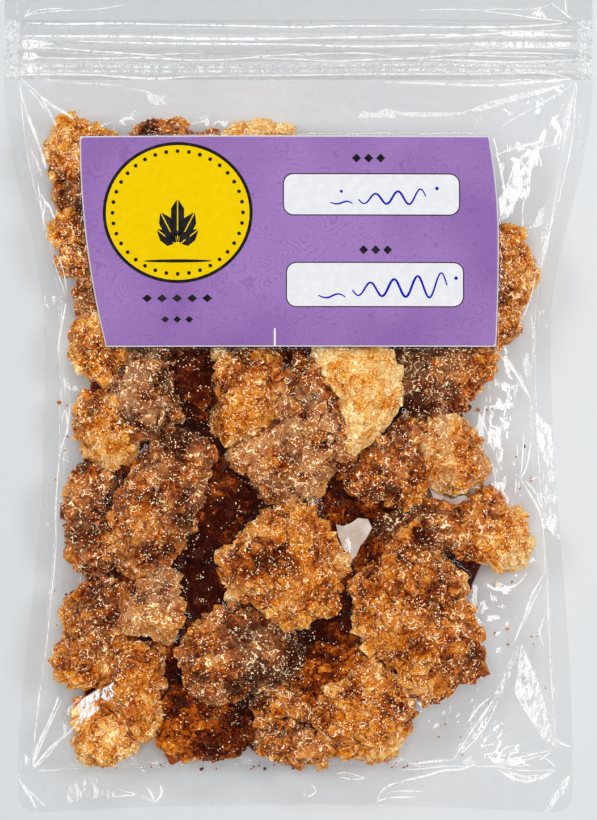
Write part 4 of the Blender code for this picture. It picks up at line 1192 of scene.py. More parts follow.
# Zip: ribs as (y, height, half width, wander), the knurled band, and how far out it is crushed flat
ZIP_BOTTOM, ZIP_TOP = 91.6 * MM, 109.4 * MM
ZIP_RIBS = [
    (107.8, 0.8, 0.55, 0.25), (104.1, 0.9, 0.6, 0.35), (102.4, 0.8, 0.5, 0.3), (100.1, 0.45, 0.5, 1.1),
    (98.5, 0.7, 0.6, 0.7), (92.5, 0.8, 0.6, 0.45),
]
KNURL_LOW, KNURL_HIGH = 93.6 * MM, 96.7 * MM
KNURL_HEIGHT, KNURL_PITCH = 0.5 * MM, 0.95 * MM
KNURL_EDGE, KNURL_ROW = 0.6 * MM, 1.6 * MM
ZIP_END, ZIP_CRUSH = 82.0 * MM, 1.6 * MM
CRUSHED_SIZE, CRUSHED_HEIGHT = 0.9 * MM, 0.55 * MM
ZIP_FILM = 0.12 * MM
ZIP_GRID = {1: (560, 60), -1: (180, 42)}
# How grey the zip is, and the greyer bands in it: y, half width, and how grey
ZIP_GREY = 0.3
ZIP_BANDS = [(102.9, 0.5, 1.0), (99.3, 1.3, 0.85), (106.0, 0.9, 0.45), (92.3, 0.9, 0.8), (97.4, 0.6, 0.5)]


def make_zip_half(name, side, material):
    """One half of the zip with its ribs and its knurled band. side is 1 on the front and -1 on the back."""
    across, along = ZIP_GRID[side]
    share = np.linspace(0, 1, across + 1)[:, None]
    y = np.linspace(ZIP_BOTTOM, ZIP_TOP, along + 1)[None, :]
    left, right = sides(y)
    x = left + (right - left) * share
    y = np.broadcast_to(y, x.shape)
    height = np.zeros(x.shape)
    for order, (rib_y, tall, reach, wander) in enumerate(ZIP_RIBS):
        drift = wander * (np.sin(x / (31 * MM) + 1.7 * order) + 0.5 * np.sin(x / (13 * MM) + order)) * MM
        away = np.abs(y - rib_y * MM - drift) / (reach * MM)
        height = np.maximum(height, tall * MM * np.clip(1 - away**2, 0, 1))
    band = eased((y - KNURL_LOW) / KNURL_EDGE) * eased((KNURL_HIGH - y) / KNURL_EDGE)
    row = np.cos(2 * np.pi * (y - KNURL_LOW) / KNURL_ROW)
    teeth = 0.5 + 0.5 * np.sin(2 * np.pi * x / KNURL_PITCH) * row
    height = np.maximum(height, band * KNURL_HEIGHT * (0.45 + 0.55 * teeth))
    crushed = eased((np.abs(x) - ZIP_END) / ZIP_CRUSH)
    rough = np.zeros(x.shape)
    for place in np.ndindex(x.shape):
        if crushed[place] > 0:
            rough[place] = 0.5 + noise.noise(Vector((x[place], y[place], side)) / CRUSHED_SIZE)
    height = height * (1 - crushed) + CRUSHED_HEIGHT * rough * crushed
    z = SEAM_AT_ZIP + side * (SEAL_GAP / 2 + ZIP_FILM + height)
    grey = np.full(x.shape, ZIP_GREY)
    for order, (band_y, reach, depth) in enumerate(ZIP_BANDS):
        drift = 0.35 * np.sin(x / (37 * MM) + 2.1 * order) * MM
        grey = np.maximum(grey, depth * np.clip(1.6 - np.abs(y - band_y * MM - drift) / (reach * MM), 0, 1))
    marks = {"crushed": np.maximum(crushed, 0.5 * band * teeth), "seal": np.ones(x.shape), "header": grey}
    half = sheet(name, x, y, z, marks, material)
    film_piece(half)
    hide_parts(name)
    return half


# Label: its grid, and the shapes printed on it, in pixels of the photograph
CARD_ACROSS, CARD_ALONG = 124, 64
PRINT_LIFT = 0.03 * MM
PRINT_CELL = 2.5 * MM
DISC_MIDDLE, DISC_HALF = (178.5, 214), (74.6, 70)
RING_WIDTH = 3.2
BOXES = {"upper": (283, 175, 459, 217), "lower": (286, 263, 463, 308)}
BOX_CORNER, BOX_LINE = 10.5, 1.1
DOTS, DOT_SIZE, DOT_RING = 36, 2.0, 0.87
CRYSTAL_FAN = [(-52, 26), (-27, 37), (0, 46), (27, 37), (52, 26)]
FAN_FOOT, FAN_WIDTH = (178.5, 247), 13


def make_label(material):
    """The printed card, bent over the heap."""
    share = np.linspace(0, 1, CARD_ACROSS + 1)[:, None]
    y = np.linspace(LABEL_BOTTOM, LABEL_TOP, CARD_ALONG + 1)[None, :]
    left, right = label_edges(y)
    x = left + (right - left) * share
    y = np.broadcast_to(y, x.shape)
    rim = np.zeros(x.shape)
    rim[0], rim[-1], rim[:, 0], rim[:, -1] = 1, 1, 1, 1
    card = sheet("label_card", x, y, label_height(x, y) + LABEL_THICKNESS, {"rim": rim}, material)
    thick = card.modifiers.new("Card thickness", "SOLIDIFY")
    thick.thickness = LABEL_THICKNESS
    thick.offset = -1
    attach(card, "root")
    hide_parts("label")


def printed(name, loops, lift, material):
    """Flat closed loops of pixels, filled with ink and laid on the label. A loop inside another is a hole."""
    shape = flat_shape(loops)
    cut_in_cells(shape, PRINT_CELL)
    for vertex in shape.verts:
        vertex.co.z = float(label_height(vertex.co.x, vertex.co.y)) + LABEL_THICKNESS + lift
    bmesh.ops.recalc_face_normals(shape, faces=shape.faces)
    if shape.faces and sum(face.normal.z for face in shape.faces) < 0:
        bmesh.ops.reverse_faces(shape, faces=shape.faces)
    ink = mesh_of(name, shape)
    ink.shade_smooth()
    piece = new_piece(name, ink, material)
    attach(piece, "root")
    return piece


def oval(middle, half_x, half_y, count=72):
    """Points round an oval."""
    angles = np.linspace(0, 2 * np.pi, count, endpoint=False)
    return [(middle[0] + half_x * math.cos(a), middle[1] + half_y * math.sin(a)) for a in angles]


def rounded_box(left, top, right, bottom, corner):
    """Points round a box with rounded corners."""
    points = []
    for x, y, first in ((right, bottom, 0), (left, bottom, 90), (left, top, 180), (right, top, 270)):
        middle_x = x - corner if x == right else x + corner
        middle_y = y - corner if y == bottom else y + corner
        for angle in np.radians(np.linspace(first, first + 90, 8)):
            points.append((middle_x + corner * math.cos(angle), middle_y + corner * math.sin(angle)))
    return points


def diamond(x, y, half_x, half_y):
    """Points of a diamond."""
    return [(x - half_x, y), (x, y - half_y), (x + half_x, y), (x, y + half_y)]


def pen_line(points, width):
    """Outline of a stroke through these points, thin at both ends."""
    path = np.array(points, float)
    swell = width / 2 * (0.45 + 0.55 * np.sin(np.linspace(0.2, np.pi - 0.2, len(path))))[:, None]
    step = sideways(path) * swell
    return [tuple(point) for point in [*(path + step), *(path - step)[::-1]]]


def wave_line(start, end, crests, height, fade):
    """A wavy pen stroke that gets lower towards its end."""
    share = np.linspace(0, 1, 16 * crests)
    x = start[0] + (end[0] - start[0]) * share
    swing = height * (1 - fade * share) * np.sin(2 * np.pi * crests * share)
    return list(zip(x, start[1] + (end[1] - start[1]) * share - swing))


def crystal_sign(angle, length):
    """A pointed crystal that stands on the fan's foot and leans by an angle, as two facets with a gap."""
    lean = math.radians(angle)
    facets = []
    for side in (-1, 1):
        inner, outer = side * 0.6, side * FAN_WIDTH / 2
        shape = [(inner, 4), (outer, 8), (outer, length - 9), (inner, length)]
        turned = []
        for across, up in shape:
            x = FAN_FOOT[0] + across * math.cos(lean) + up * math.sin(lean)
            y = FAN_FOOT[1] + across * math.sin(lean) - up * math.cos(lean)
            turned.append((x, y))
        facets.append(turned)
    return facets


def make_print(yellow, black, white, blue):
    """The shapes on the label: a disc with a fan of crystals, two boxes, small ornaments and pen strokes."""
    inner = [half - RING_WIDTH for half in DISC_HALF]
    printed("disc", [oval(DISC_MIDDLE, *inner)], PRINT_LIFT, yellow)
    ring = [oval(DISC_MIDDLE, *DISC_HALF), oval(DISC_MIDDLE, *inner)]
    printed("disc_ring", ring, PRINT_LIFT, black)
    signs = []
    for angle, length in CRYSTAL_FAN:
        signs += crystal_sign(angle, length)
    printed("crystal_fan", signs, 2 * PRINT_LIFT, black)
    beads = []
    for angle in np.linspace(0, 2 * np.pi, DOTS, endpoint=False):
        x = DISC_MIDDLE[0] + DISC_HALF[0] * DOT_RING * math.cos(angle)
        y = DISC_MIDDLE[1] + DISC_HALF[1] * DOT_RING * math.sin(angle)
        beads.append(oval((x, y), DOT_SIZE, DOT_SIZE, 10))
    beads.append(oval((178.5, 262), 34, 1.6, 40))
    printed("disc_beads", beads, 2 * PRINT_LIFT, black)
    for name, (left, top, right, bottom) in BOXES.items():
        edge = rounded_box(left, top, right, bottom, BOX_CORNER)
        line = BOX_LINE
        inside = rounded_box(left + line, top + line, right - line, bottom - line, BOX_CORNER - line)
        printed(name + "_box_line", [edge, inside], PRINT_LIFT, black)
        printed(name + "_box", [inside], PRINT_LIFT, white)
    printed("nick", [[(274, 329), (276, 329), (276, 347), (274, 347)]], PRINT_LIFT, white)
    marks = []
    for x, y in ((356, 160), (368, 160), (380, 160), (363, 251), (375, 251), (387, 251)):
        marks.append(diamond(x, y, 4.5, 4.5))
    for x in (148, 163, 178, 193, 208):
        marks.append(diamond(x, 299, 5.0, 4.0))
    for x in (166, 178, 190):
        marks.append(diamond(x, 320, 4.0, 3.4))
    printed("ornaments", marks, PRINT_LIFT, black)
    strokes = [
        pen_line(wave_line((425, 198), (358, 201), 3, 8, 0.5), 2.2),
        pen_line(wave_line((352, 205), (330, 204), 1, 2, 0.5), 1.8),
        pen_line(wave_line((446, 286), (352, 291), 4, 13, 0.6), 2.4),
        pen_line(wave_line((345, 298), (318, 296), 1, 3, 0.4), 1.8),
        oval((436, 190), 1.8, 1.8, 10), oval((341, 193), 1.6, 1.6, 10), oval((455, 279), 1.8, 1.8, 10),
    ]
    printed("pen_strokes", strokes, 2 * PRINT_LIFT, blue)


# Crumbs: where they lie, as left, top, right and bottom pixels, how many, and their sizes in mm
CRUMB_PLACES = [
    ((478, 398, 494, 410), 3, 0.6, 1.3),
    ((495, 436, 540, 500), 4, 0.4, 0.9),
    ((496, 580, 548, 700), 12, 0.4, 1.0),
    ((200, 763, 300, 772), 14, 0.3, 0.8),
    ((90, 762, 200, 770), 8, 0.3, 0.7),
    ((300, 763, 420, 771), 10, 0.3, 0.7),
    ((430, 705, 500, 768), 9, 0.3, 0.7),
    ((52, 400, 72, 660), 12, 0.4, 1.0),
]


def back_height(x, y):
    """Height of the back film at a point, near enough for crumbs to lie on it."""
    left, right = sides(np.array([y]))
    inward = min(x - left[0], right[0] - x) - SIDE_SEAL
    inward = min(inward, y + POUCH_LENGTH / 2 - BASE_RISE - BASE_SEAL)
    return float(seam_height(y) * (1 - eased(inward / UNDERSIDE_RAMP)))


def make_crumbs(material):
    """Small broken crystals that lie on the back film, as one piece."""
    draw = random.Random(23)
    shapes = crystal_shapes()
    crumbs = []
    for (left, top, right, bottom), count, small, large in CRUMB_PLACES:
        for _ in range(count):
            pixel = (draw.uniform(left, right), draw.uniform(top, bottom))
            x, y = spot(pixel)
            size = draw.uniform(small, large) * MM
            turn = Quaternion(Vector([draw.gauss(0, 1) for _ in range(3)]).normalized(), draw.uniform(0, 6.2))
            place = Vector((x, y, back_height(x, y) + 0.15 * MM + 0.55 * size))
            scale = Matrix.Diagonal((size, size * draw.uniform(0.6, 1), size * draw.uniform(0.6, 1), 1))
            one = draw.choice(shapes).copy()
            one.transform(Matrix.Translation(place) @ turn.to_matrix().to_4x4() @ scale)
            mark_tones(one, oval(pixel, 20, 20, 8), draw.uniform(0.2, 0.7), 0, 0.0, draw.random())
            crumbs.append(one)
    for shape in shapes:
        bpy.data.meshes.remove(shape)
    return joined("candy_crumbs", crumbs, material)


def add(tree, kind, inputs=None, **settings):
    """A new node. inputs gives its sockets, by name or number, a number or another node's output."""
    made = tree.nodes.new("ShaderNode" + kind)
    for setting, value in settings.items():
        setattr(made, setting, value)
    for socket, value in (inputs or {}).items():
        if isinstance(value, bpy.types.NodeSocket):
            tree.links.new(value, made.inputs[socket])
        else:
            made.inputs[socket].default_value = value
    return made


def sum_of(tree, operation, first, second=0.0, limit=False):
    """Output of a Math node. limit keeps it from 0 to 1."""
    return add(tree, "Math", {0: first, 1: second}, operation=operation, use_clamp=limit).outputs[0]


def product(tree, first, second, limit=False):
    """Product of two numbers."""
    return sum_of(tree, "MULTIPLY", first, second, limit)


def between(tree, value, low, high, out_low=0.0, out_high=1.0):
    """A value read from low to high, as a number from out_low to out_high."""
    inputs = {"Value": value, "From Min": low, "From Max": high, "To Min": out_low, "To Max": out_high}
    return add(tree, "MapRange", inputs).outputs["Result"]


def blended(tree, share, first, second):
    """Output of a Mix node for colours."""
    mixing = add(tree, "Mix", data_type="RGBA")
    for socket, value in ((0, share), (6, first), (7, second)):
        if isinstance(value, bpy.types.NodeSocket):
            tree.links.new(value, mixing.inputs[socket])
        else:
            mixing.inputs[socket].default_value = value
    return mixing.outputs[2]


def own_place(tree):
    """Place in the piece itself."""
    return add(tree, "TexCoord").outputs["Object"]


def mark(tree, name):
    """A number that the mesh carries by this name."""
    return add(tree, "Attribute", attribute_name=name).outputs["Fac"]


def noise_of(tree, place, scale, detail, distortion=0.0, roughness=0.5):
    """A Noise texture node, read at a place."""
    inputs = {"Vector": place, "Scale": scale, "Detail": detail}
    inputs.update({"Distortion": distortion, "Roughness": roughness})
    return add(tree, "TexNoise", inputs)


def off_middle(tree, colour, amount):
    """A random colour as a shift to any side, by an amount."""
    shift = add(tree, "VectorMath", {0: colour, 1: (0.5, 0.5, 0.5)}, operation="SUBTRACT").outputs[0]
    return add(tree, "VectorMath", {0: shift, "Scale": amount}, operation="SCALE").outputs[0]


def sum_up(tree, first, *others):
    """Sum of several numbers."""
    for other in others:
        first = sum_of(tree, "ADD", first, other)
    return first


def ramp(tree, share, stops):
    """Output of a colour ramp with these (place, colour) stops."""
    band = add(tree, "ValToRGB", {0: share})
    while len(band.color_ramp.elements) < len(stops):
        band.color_ramp.elements.new(0.5)
    for element, (place, colour) in zip(band.color_ramp.elements, stops):
        element.position = place
        element.color = (*colour, 1.0)
    return band.outputs[0]


def group(name, inputs, outputs):
    """An empty node group with these sockets, as the group, its input node and its output node."""
    made = bpy.data.node_groups.new(name, "ShaderNodeTree")
    for socket, kind, value in inputs:
        item = made.interface.new_socket(name=socket, in_out="INPUT", socket_type="NodeSocket" + kind)
        if value is not None:
            item.default_value = value
    for socket, kind in outputs:
        made.interface.new_socket(name=socket, in_out="OUTPUT", socket_type="NodeSocket" + kind)
    return made, made.nodes.new("NodeGroupInput"), made.nodes.new("NodeGroupOutput")


# Sugar: its colour from dark to pale, its frost with painted edge light, its two kinds of painted sheen, and
# its painted glints
SUGAR = [
    (0.0, (0.050, 0.003, 0.0)), (0.25, (0.235, 0.030, 0.001)), (0.5, (0.665, 0.150, 0.002)),
    (0.75, (0.900, 0.385, 0.032)), (1.0, (0.990, 0.700, 0.320)),
]
FROST_AND_EDGE_LIGHT = (0.97, 0.55, 0.15, 1.0)
PINK_SHEEN = (0.64, 0.32, 0.15, 1.0)
MAUVE_SHEEN = (0.48, 0.20, 0.09, 1.0)
PAINTED_GLINT = (1.0, 0.79, 0.50, 1.0)
# For each look: frost with painted edge light, painted glint, contrast between facets, painted sheen, gleam
# and mottling
SUGAR_LOOKS = {
    "gold": (0.80, 0.10, 0.20, 0.05, 0.08, 0.9),
    "amber": (0.55, 0.085, 0.23, 0.1, 0.06, 1.0),
    "brown": (0.50, 0.085, 0.25, 0.2, 0.06, 1.0),
    "dark": (0.10, -0.03, 0.22, 0.0, 0.02, 1.0),
    "frosted": (0.68, 0.115, 0.20, 0.65, 0.08, 1.0),
    "smooth": (0.60, 0.11, 0.08, 0.0, 0.2, 0.45),
}


def nearest(tree, name):
    """Distance in mm from a facet's nearest edge of one sort."""
    apart = add(tree, "Attribute", attribute_name=name).outputs["Vector"]
    first, second, third = add(tree, "SeparateXYZ", {0: apart}).outputs
    return sum_of(tree, "MINIMUM", sum_of(tree, "MINIMUM", first, second), third)


def tilted(tree, normal, cells, amount):
    """A normal turned a little another way in each cell."""
    away = off_middle(tree, cells.outputs["Color"], amount)
    return add(tree, "VectorMath", {0: normal, 1: away}, operation="ADD").outputs[0]


def bent_place(tree, place):
    """A place shifted a little, unevenly, so that straight lines bend."""
    drift = off_middle(tree, noise_of(tree, place, 500.0, 1.0).outputs[1], 0.0022)
    return add(tree, "VectorMath", {0: place, 1: drift}, operation="ADD").outputs[0]


def sugar_group():
    """Colour with painted glints, edge light and sheen, the glints' painted glow, roughness and normal of the
    crystals, for every look.
    """
    tree, given, result = group(
        "Sugar crystals",
        [("Frost", "Float", 0.3), ("Glint", "Float", 0.2), ("Contrast", "Float", 0.5), ("Sheen", "Float", 0.0),
         ("Mottle", "Float", 1.0)],
        [("Colour", "Color"), ("Sparkle", "Color"), ("Roughness", "Float"), ("Normal", "Vector")],
    )
    frost, glint, contrast, sheen, mottle = (given.outputs[number] for number in range(5))
    place = own_place(tree)
    cloud = noise_of(tree, place, 110.0, 3.0).outputs[0]
    grain = noise_of(tree, place, 800.0, 4.0, roughness=0.7).outputs[0]
    patch = noise_of(tree, place, 270.0, 2.0, distortion=0.5).outputs[0]
    bent = bent_place(tree, place)
    bits = add(tree, "TexVoronoi", {"Vector": bent, "Scale": 440.0, "Randomness": 1.0})
    specks = add(tree, "TexVoronoi", {"Vector": place, "Scale": 2600.0, "Randomness": 1.0})
    bit = add(tree, "SeparateColor", {0: bits.outputs["Color"]}).outputs
    speck = add(tree, "SeparateColor", {0: specks.outputs["Color"]}).outputs

    # From dark to pale: the lump's own tone, its facets, mottling, dark specks and painted shade in the nooks
    swing = product(tree, sum_of(tree, "SUBTRACT", mark(tree, "facet"), 0.5), contrast)
    mottling = sum_up(
        tree,
        between(tree, cloud, 0.3, 0.7, -0.16, 0.22),
        between(tree, patch, 0.3, 0.7, -0.09, 0.09),
        between(tree, grain, 0.3, 0.7, -0.06, 0.06),
        between(tree, bit[0], 0.0, 1.0, -0.13, 0.12),
    )
    mottling = product(tree, mottling, mottle)
    dark_specks = between(tree, speck[2], 0.18, 0.34, -0.24, 0.03)
    nooks = between(tree, nearest(tree, "nook"), 0.0, 0.5, -0.20, 0.0)
    shade = sum_up(tree, mark(tree, "tone"), swing, mottling, dark_specks, nooks)
    colour = ramp(tree, sum_of(tree, "ADD", shade, 0.0, limit=True), SUGAR)

    # Painted sheen: mauve clouds, and pink veils over single bits, painted as a reflection over the frosted
    # sugar
    clouds = product(tree, between(tree, cloud, 0.42, 0.60), sheen)
    colour = blended(tree, clouds, colour, MAUVE_SHEEN)
    veiled = between(tree, cloud, 0.42, 0.58, 0.15, 0.8)
    veil = product(tree, between(tree, bit[1], 0.60, 0.68), veiled)
    colour = blended(tree, product(tree, veil, sheen, limit=True), colour, PINK_SHEEN)

    # Frost and painted edge light: a pale crust in patches, and a painted highlight along the ridges, both
    # thinner in dark places
    edge = between(tree, nearest(tree, "ridge"), 0.42, 0.08)
    edge = product(tree, edge, between(tree, grain, 0.40, 0.62, 0.1, 1.0))
    frost_and_edge_light = sum_up(tree, edge, between(tree, sum_of(tree, "ADD", cloud, grain), 1.06, 1.30, 0.0, 0.7))
    frost_and_edge_light = product(tree, frost_and_edge_light, between(tree, shade, 0.10, 0.50, 0.30, 1.0))
    frost_and_edge_light = product(tree, frost_and_edge_light, frost, limit=True)
    colour = blended(tree, frost_and_edge_light, colour, FROST_AND_EDGE_LIGHT)

    # Painted glints: single specks, and strokes along the edges of some bits, painted in as highlights that
    # also glow
    chosen = sum_up(tree, speck[0], between(tree, bit[1], 0.0, 1.0, -0.15, 0.15))
    chosen = sum_of(tree, "LESS_THAN", chosen, glint)
    spots = product(tree, chosen, between(tree, specks.outputs["Distance"], 0.62, 0.42))
    seams = add(tree, "TexVoronoi", {"Vector": bent, "Scale": 440.0}, feature="DISTANCE_TO_EDGE").outputs[0]
    crowded = sum_up(
        tree,
        noise_of(tree, place, 430.0, 1.0).outputs[0],
        between(tree, cloud, 0.35, 0.65, -0.12, 0.07),
        product(tree, glint, 0.5),
    )
    strokes = between(tree, crowded, 0.625, 0.685)
    strokes = product(tree, between(tree, seams, 0.070, 0.035), strokes)
    strokes = product(tree, strokes, between(tree, glint, 0.0, 0.1))
    bright = sum_of(tree, "MAXIMUM", spots, strokes)
    colour = blended(tree, bright, colour, PAINTED_GLINT)

    # Each bit and speck faces its own way
    rough = sum_up(tree, between(tree, bit[2], 0.0, 1.0, 0.06, 0.30), product(tree, frost_and_edge_light, 0.2))
    normal = add(tree, "NewGeometry").outputs["Normal"]
    normal = tilted(tree, tilted(tree, normal, bits, 0.60), specks, 0.28)
    normal = add(tree, "VectorMath", {0: normal}, operation="NORMALIZE").outputs[0]
    bump = add(tree, "Bump", {"Height": grain, "Strength": 0.25, "Distance": 0.0004, "Normal": normal})
    # Sparkle is the painted glints' glow, which feeds the emission
    tree.links.new(colour, result.inputs["Colour"])
    tree.links.new(blended(tree, bright, (0.0, 0.0, 0.0, 1.0), PAINTED_GLINT), result.inputs["Sparkle"])
    tree.links.new(rough, result.inputs["Roughness"])
    tree.links.new(bump.outputs[0], result.inputs["Normal"])
    return tree


def drawn_out(tree, place, turn):
    """A place for noise that is drawn out along one way."""
    inputs = {"Vector": place, "Rotation": (0, 0, turn), "Scale": (1.0, 0.35, 1.0)}
    return add(tree, "Mapping", inputs).outputs[0]


def film_group():
    """Fine crinkles and milky marks of clear film."""
    tree, given, result = group(
        "Clear film",
        [("Crinkle", "Float", 0.4), ("Milk", "Float", 0.05)],
        [("Milky", "Float"), ("Normal", "Vector")],
    )
    place = own_place(tree)
    long = drawn_out(tree, place, 0.5)
    wave = noise_of(tree, long, 210.0, 2.0, distortion=0.6).outputs[0]
    crest = sum_of(tree, "ABSOLUTE", sum_of(tree, "SUBTRACT", wave, 0.5))
    fine = noise_of(tree, place, 900.0, 2.0).outputs[0]
    height = sum_of(tree, "SUBTRACT", product(tree, fine, 0.12), crest)
    bump = add(tree, "Bump", {"Height": height, "Strength": given.outputs["Crinkle"], "Distance": 0.0012})
    sharp = between(tree, crest, 0.03, 0.0)
    milky = sum_up(
        tree,
        product(tree, mark(tree, "crushed"), between(tree, fine, 0.42, 0.60, 0.05, 0.85)),
        product(tree, mark(tree, "seal"), 0.05),
        product(tree, sharp, 0.015),
    )
    milky = sum_of(tree, "ADD", milky, given.outputs["Milk"], limit=True)
    tree.links.new(milky, result.inputs["Milky"])
    tree.links.new(bump.outputs[0], result.inputs["Normal"])
    return tree


def use(tree, shared, inputs=None):
    """A node that stands for a shared group."""
    made = tree.nodes.new("ShaderNodeGroup")
    made.node_tree = shared
    for socket, value in (inputs or {}).items():
        made.inputs[socket].default_value = value
    return made


def empty_material(name):
    """A material without nodes, and its tree."""
    material = bpy.data.materials.new(name)
    material.use_nodes = True
    tree = material.node_tree
    tree.nodes.clear()
    return material, tree


def surfaced(material, shader):
    """The material with this shader as its surface."""
    tree = material.node_tree
    output = tree.nodes.new("ShaderNodeOutputMaterial")
    tree.links.new(shader.outputs[0], output.inputs["Surface"])
    return material


def sugar_material(name, shared, frost, glint, contrast, sheen, gleam, mottle):
    """Sugar of one look, with light in its depth, a thin wet gleam, and painted glints that glow."""
    material, tree = empty_material(name)
    own = {"Frost": frost, "Glint": glint, "Contrast": contrast, "Sheen": sheen, "Mottle": mottle}
    look = use(tree, shared, own)
    surface = add(tree, "BsdfPrincipled", {
        "Base Color": look.outputs["Colour"],
        "Roughness": look.outputs["Roughness"],
        "Normal": look.outputs["Normal"],
        "IOR": 1.54,
        "Subsurface Weight": 0.38,
        "Subsurface Radius": (1.0, 0.5, 0.12),
        "Subsurface Scale": 0.0011,
        # The painted glints glow by emission, as painted highlights
        "Emission Color": look.outputs["Sparkle"],
        "Emission Strength": 0.42,
        "Specular IOR Level": 0.05,
        "Coat Weight": gleam,
        "Coat Roughness": 0.06,
    })
    return surfaced(material, surface)


# How strongly the film mirrors its surroundings, and how little where it rests on the candy
FILM_GLOSS, RESTING_GLOSS = 1.1, 0.05


def film_material(name, shared, crinkle, milk):
    """Clear film: a faint milkiness, a mirroring that grows towards its edges, and grey where it is thick."""
    material, tree = empty_material(name)
    look = use(tree, shared, {"Crinkle": crinkle, "Milk": milk})
    rest = mark(tree, "rest")
    milky = add(tree, "BsdfPrincipled", {
        "Base Color": (0.86, 0.88, 0.90, 1.0),
        "Roughness": 0.3,
        "Alpha": product(tree, look.outputs["Milky"], between(tree, rest, 0.0, 0.5, 1.0, 0.1)),
        "Normal": look.outputs["Normal"],
    })
    shine = add(tree, "BsdfPrincipled", {
        "Base Color": (1.0, 1.0, 1.0, 1.0),
        "Metallic": 1.0,
        "Roughness": 0.06,
        "Normal": look.outputs["Normal"],
    })
    edge = add(tree, "Fresnel", {"IOR": 1.5}).outputs[0]
    mirroring = between(tree, rest, 0.0, 0.5, FILM_GLOSS, RESTING_GLOSS)
    gloss = product(tree, edge, mirroring, limit=True)
    plain = add(tree, "MixShader", {0: gloss, 1: milky.outputs[0], 2: shine.outputs[0]})
    grey = add(tree, "BsdfPrincipled", {"Base Color": (0.06, 0.06, 0.065, 1.0), "Roughness": 0.4})
    shade = between(tree, mark(tree, "header"), 0.0, 1.0, 0.012, 0.135)
    whole = add(tree, "MixShader", {0: shade, 1: plain.outputs[0], 2: grey.outputs[0]})
    return surfaced(material, whole)


def highlight_material(name):
    """Painted highlight on the film: white, broken up by fine lines where it is crumpled."""
    material, tree = empty_material(name)
    place = own_place(tree)
    streak = noise_of(tree, drawn_out(tree, place, 0.45), 900.0, 3.0, distortion=0.8).outputs[0]
    fine = noise_of(tree, place, 1900.0, 2.0).outputs[0]
    crumple = sum_up(tree, product(tree, streak, 0.7), product(tree, fine, 0.3))
    cover = sum_of(tree, "SUBTRACT", crumple, between(tree, mark(tree, "broken"), 0.0, 1.0, 0.30, 0.62))
    cover = product(tree, cover, 8.0, limit=True)
    cover = product(tree, cover, between(tree, mark(tree, "middle"), 0.0, 0.62))
    clear = add(tree, "BsdfTransparent")
    up = add(tree, "CombineXYZ", {2: 1.0}).outputs[0]
    bump = add(tree, "Bump", {"Height": fine, "Strength": 0.3, "Distance": 0.0003, "Normal": up})
    white = add(tree, "BsdfPrincipled", {
        "Base Color": (1.0, 1.0, 1.0, 1.0),
        "Roughness": between(tree, fine, 0.3, 0.7, 0.15, 0.4),
        "Normal": bump.outputs[0],
    })
    mixed = add(tree, "MixShader", {0: cover, 1: clear.outputs[0], 2: white.outputs[0]})
    return surfaced(material, mixed)


def gap_light_material(name):
    """Painted light: a pale sheet coloured as if lit through the sugar round it."""
    material, tree = empty_material(name)
    place = own_place(tree)
    cloud = noise_of(tree, place, 240.0, 3.0).outputs[0]
    bump = add(tree, "Bump", {"Height": cloud, "Strength": 0.2, "Distance": 0.0005})
    surface = add(tree, "BsdfPrincipled", {
        "Base Color": ramp(tree, cloud, [(0.35, (0.58, 0.43, 0.34)), (0.65, (0.70, 0.62, 0.56))]),
        "Roughness": between(tree, cloud, 0.3, 0.7, 0.3, 0.5),
        "Normal": bump.outputs[0],
    })
    return surfaced(material, surface)


def card_material(name):
    """The purple card: darker patches, fine curling lines, and a white cut edge."""
    material, tree = empty_material(name)
    place = own_place(tree)
    patch = between(tree, noise_of(tree, place, 26.0, 2.0, distortion=0.4).outputs[0], 0.38, 0.62)
    colour = ramp(tree, patch, [(0.0, (0.272, 0.126, 0.410)), (1.0, (0.350, 0.190, 0.500))])
    swirl = noise_of(tree, place, 82.0, 1.0, distortion=2.2).outputs[0]
    bands = sum_of(tree, "FRACT", product(tree, swirl, 14.0))
    line = between(tree, sum_of(tree, "ABSOLUTE", sum_of(tree, "SUBTRACT", bands, 0.5)), 0.16, 0.05)
    colour = blended(tree, product(tree, line, 0.38), colour, (0.17, 0.065, 0.29, 1.0))
    colour = blended(tree, between(tree, mark(tree, "rim"), 0.55, 0.75), colour, (0.86, 0.86, 0.88, 1.0))
    fibre = noise_of(tree, place, 1500.0, 3.0).outputs[0]
    bump = add(tree, "Bump", {"Height": fibre, "Strength": 0.15, "Distance": 0.0002})
    surface = add(tree, "BsdfPrincipled", {
        "Base Color": colour,
        "Roughness": between(tree, fibre, 0.3, 0.7, 0.40, 0.55),
        "Normal": bump.outputs[0],
    })
    return surfaced(material, surface)


def ink_group():
    """Printed ink: its colour with faint unevenness towards a faded one."""
    tree, given, result = group(
        "Printed ink",
        [("Ink", "Color", (0.0, 0.0, 0.0, 1.0)), ("Faded", "Color", (0.1, 0.1, 0.1, 1.0))],
        [("Colour", "Color"), ("Roughness", "Float"), ("Normal", "Vector")],
    )
    place = own_place(tree)
    press = noise_of(tree, place, 420.0, 4.0).outputs[0]
    mixed = blended(tree, between(tree, press, 0.42, 0.72), given.outputs["Ink"], given.outputs["Faded"])
    bump = add(tree, "Bump", {"Height": press, "Strength": 0.1, "Distance": 0.0001})
    tree.links.new(mixed, result.inputs["Colour"])
    tree.links.new(between(tree, press, 0.3, 0.7, 0.38, 0.5), result.inputs["Roughness"])
    tree.links.new(bump.outputs[0], result.inputs["Normal"])
    return tree


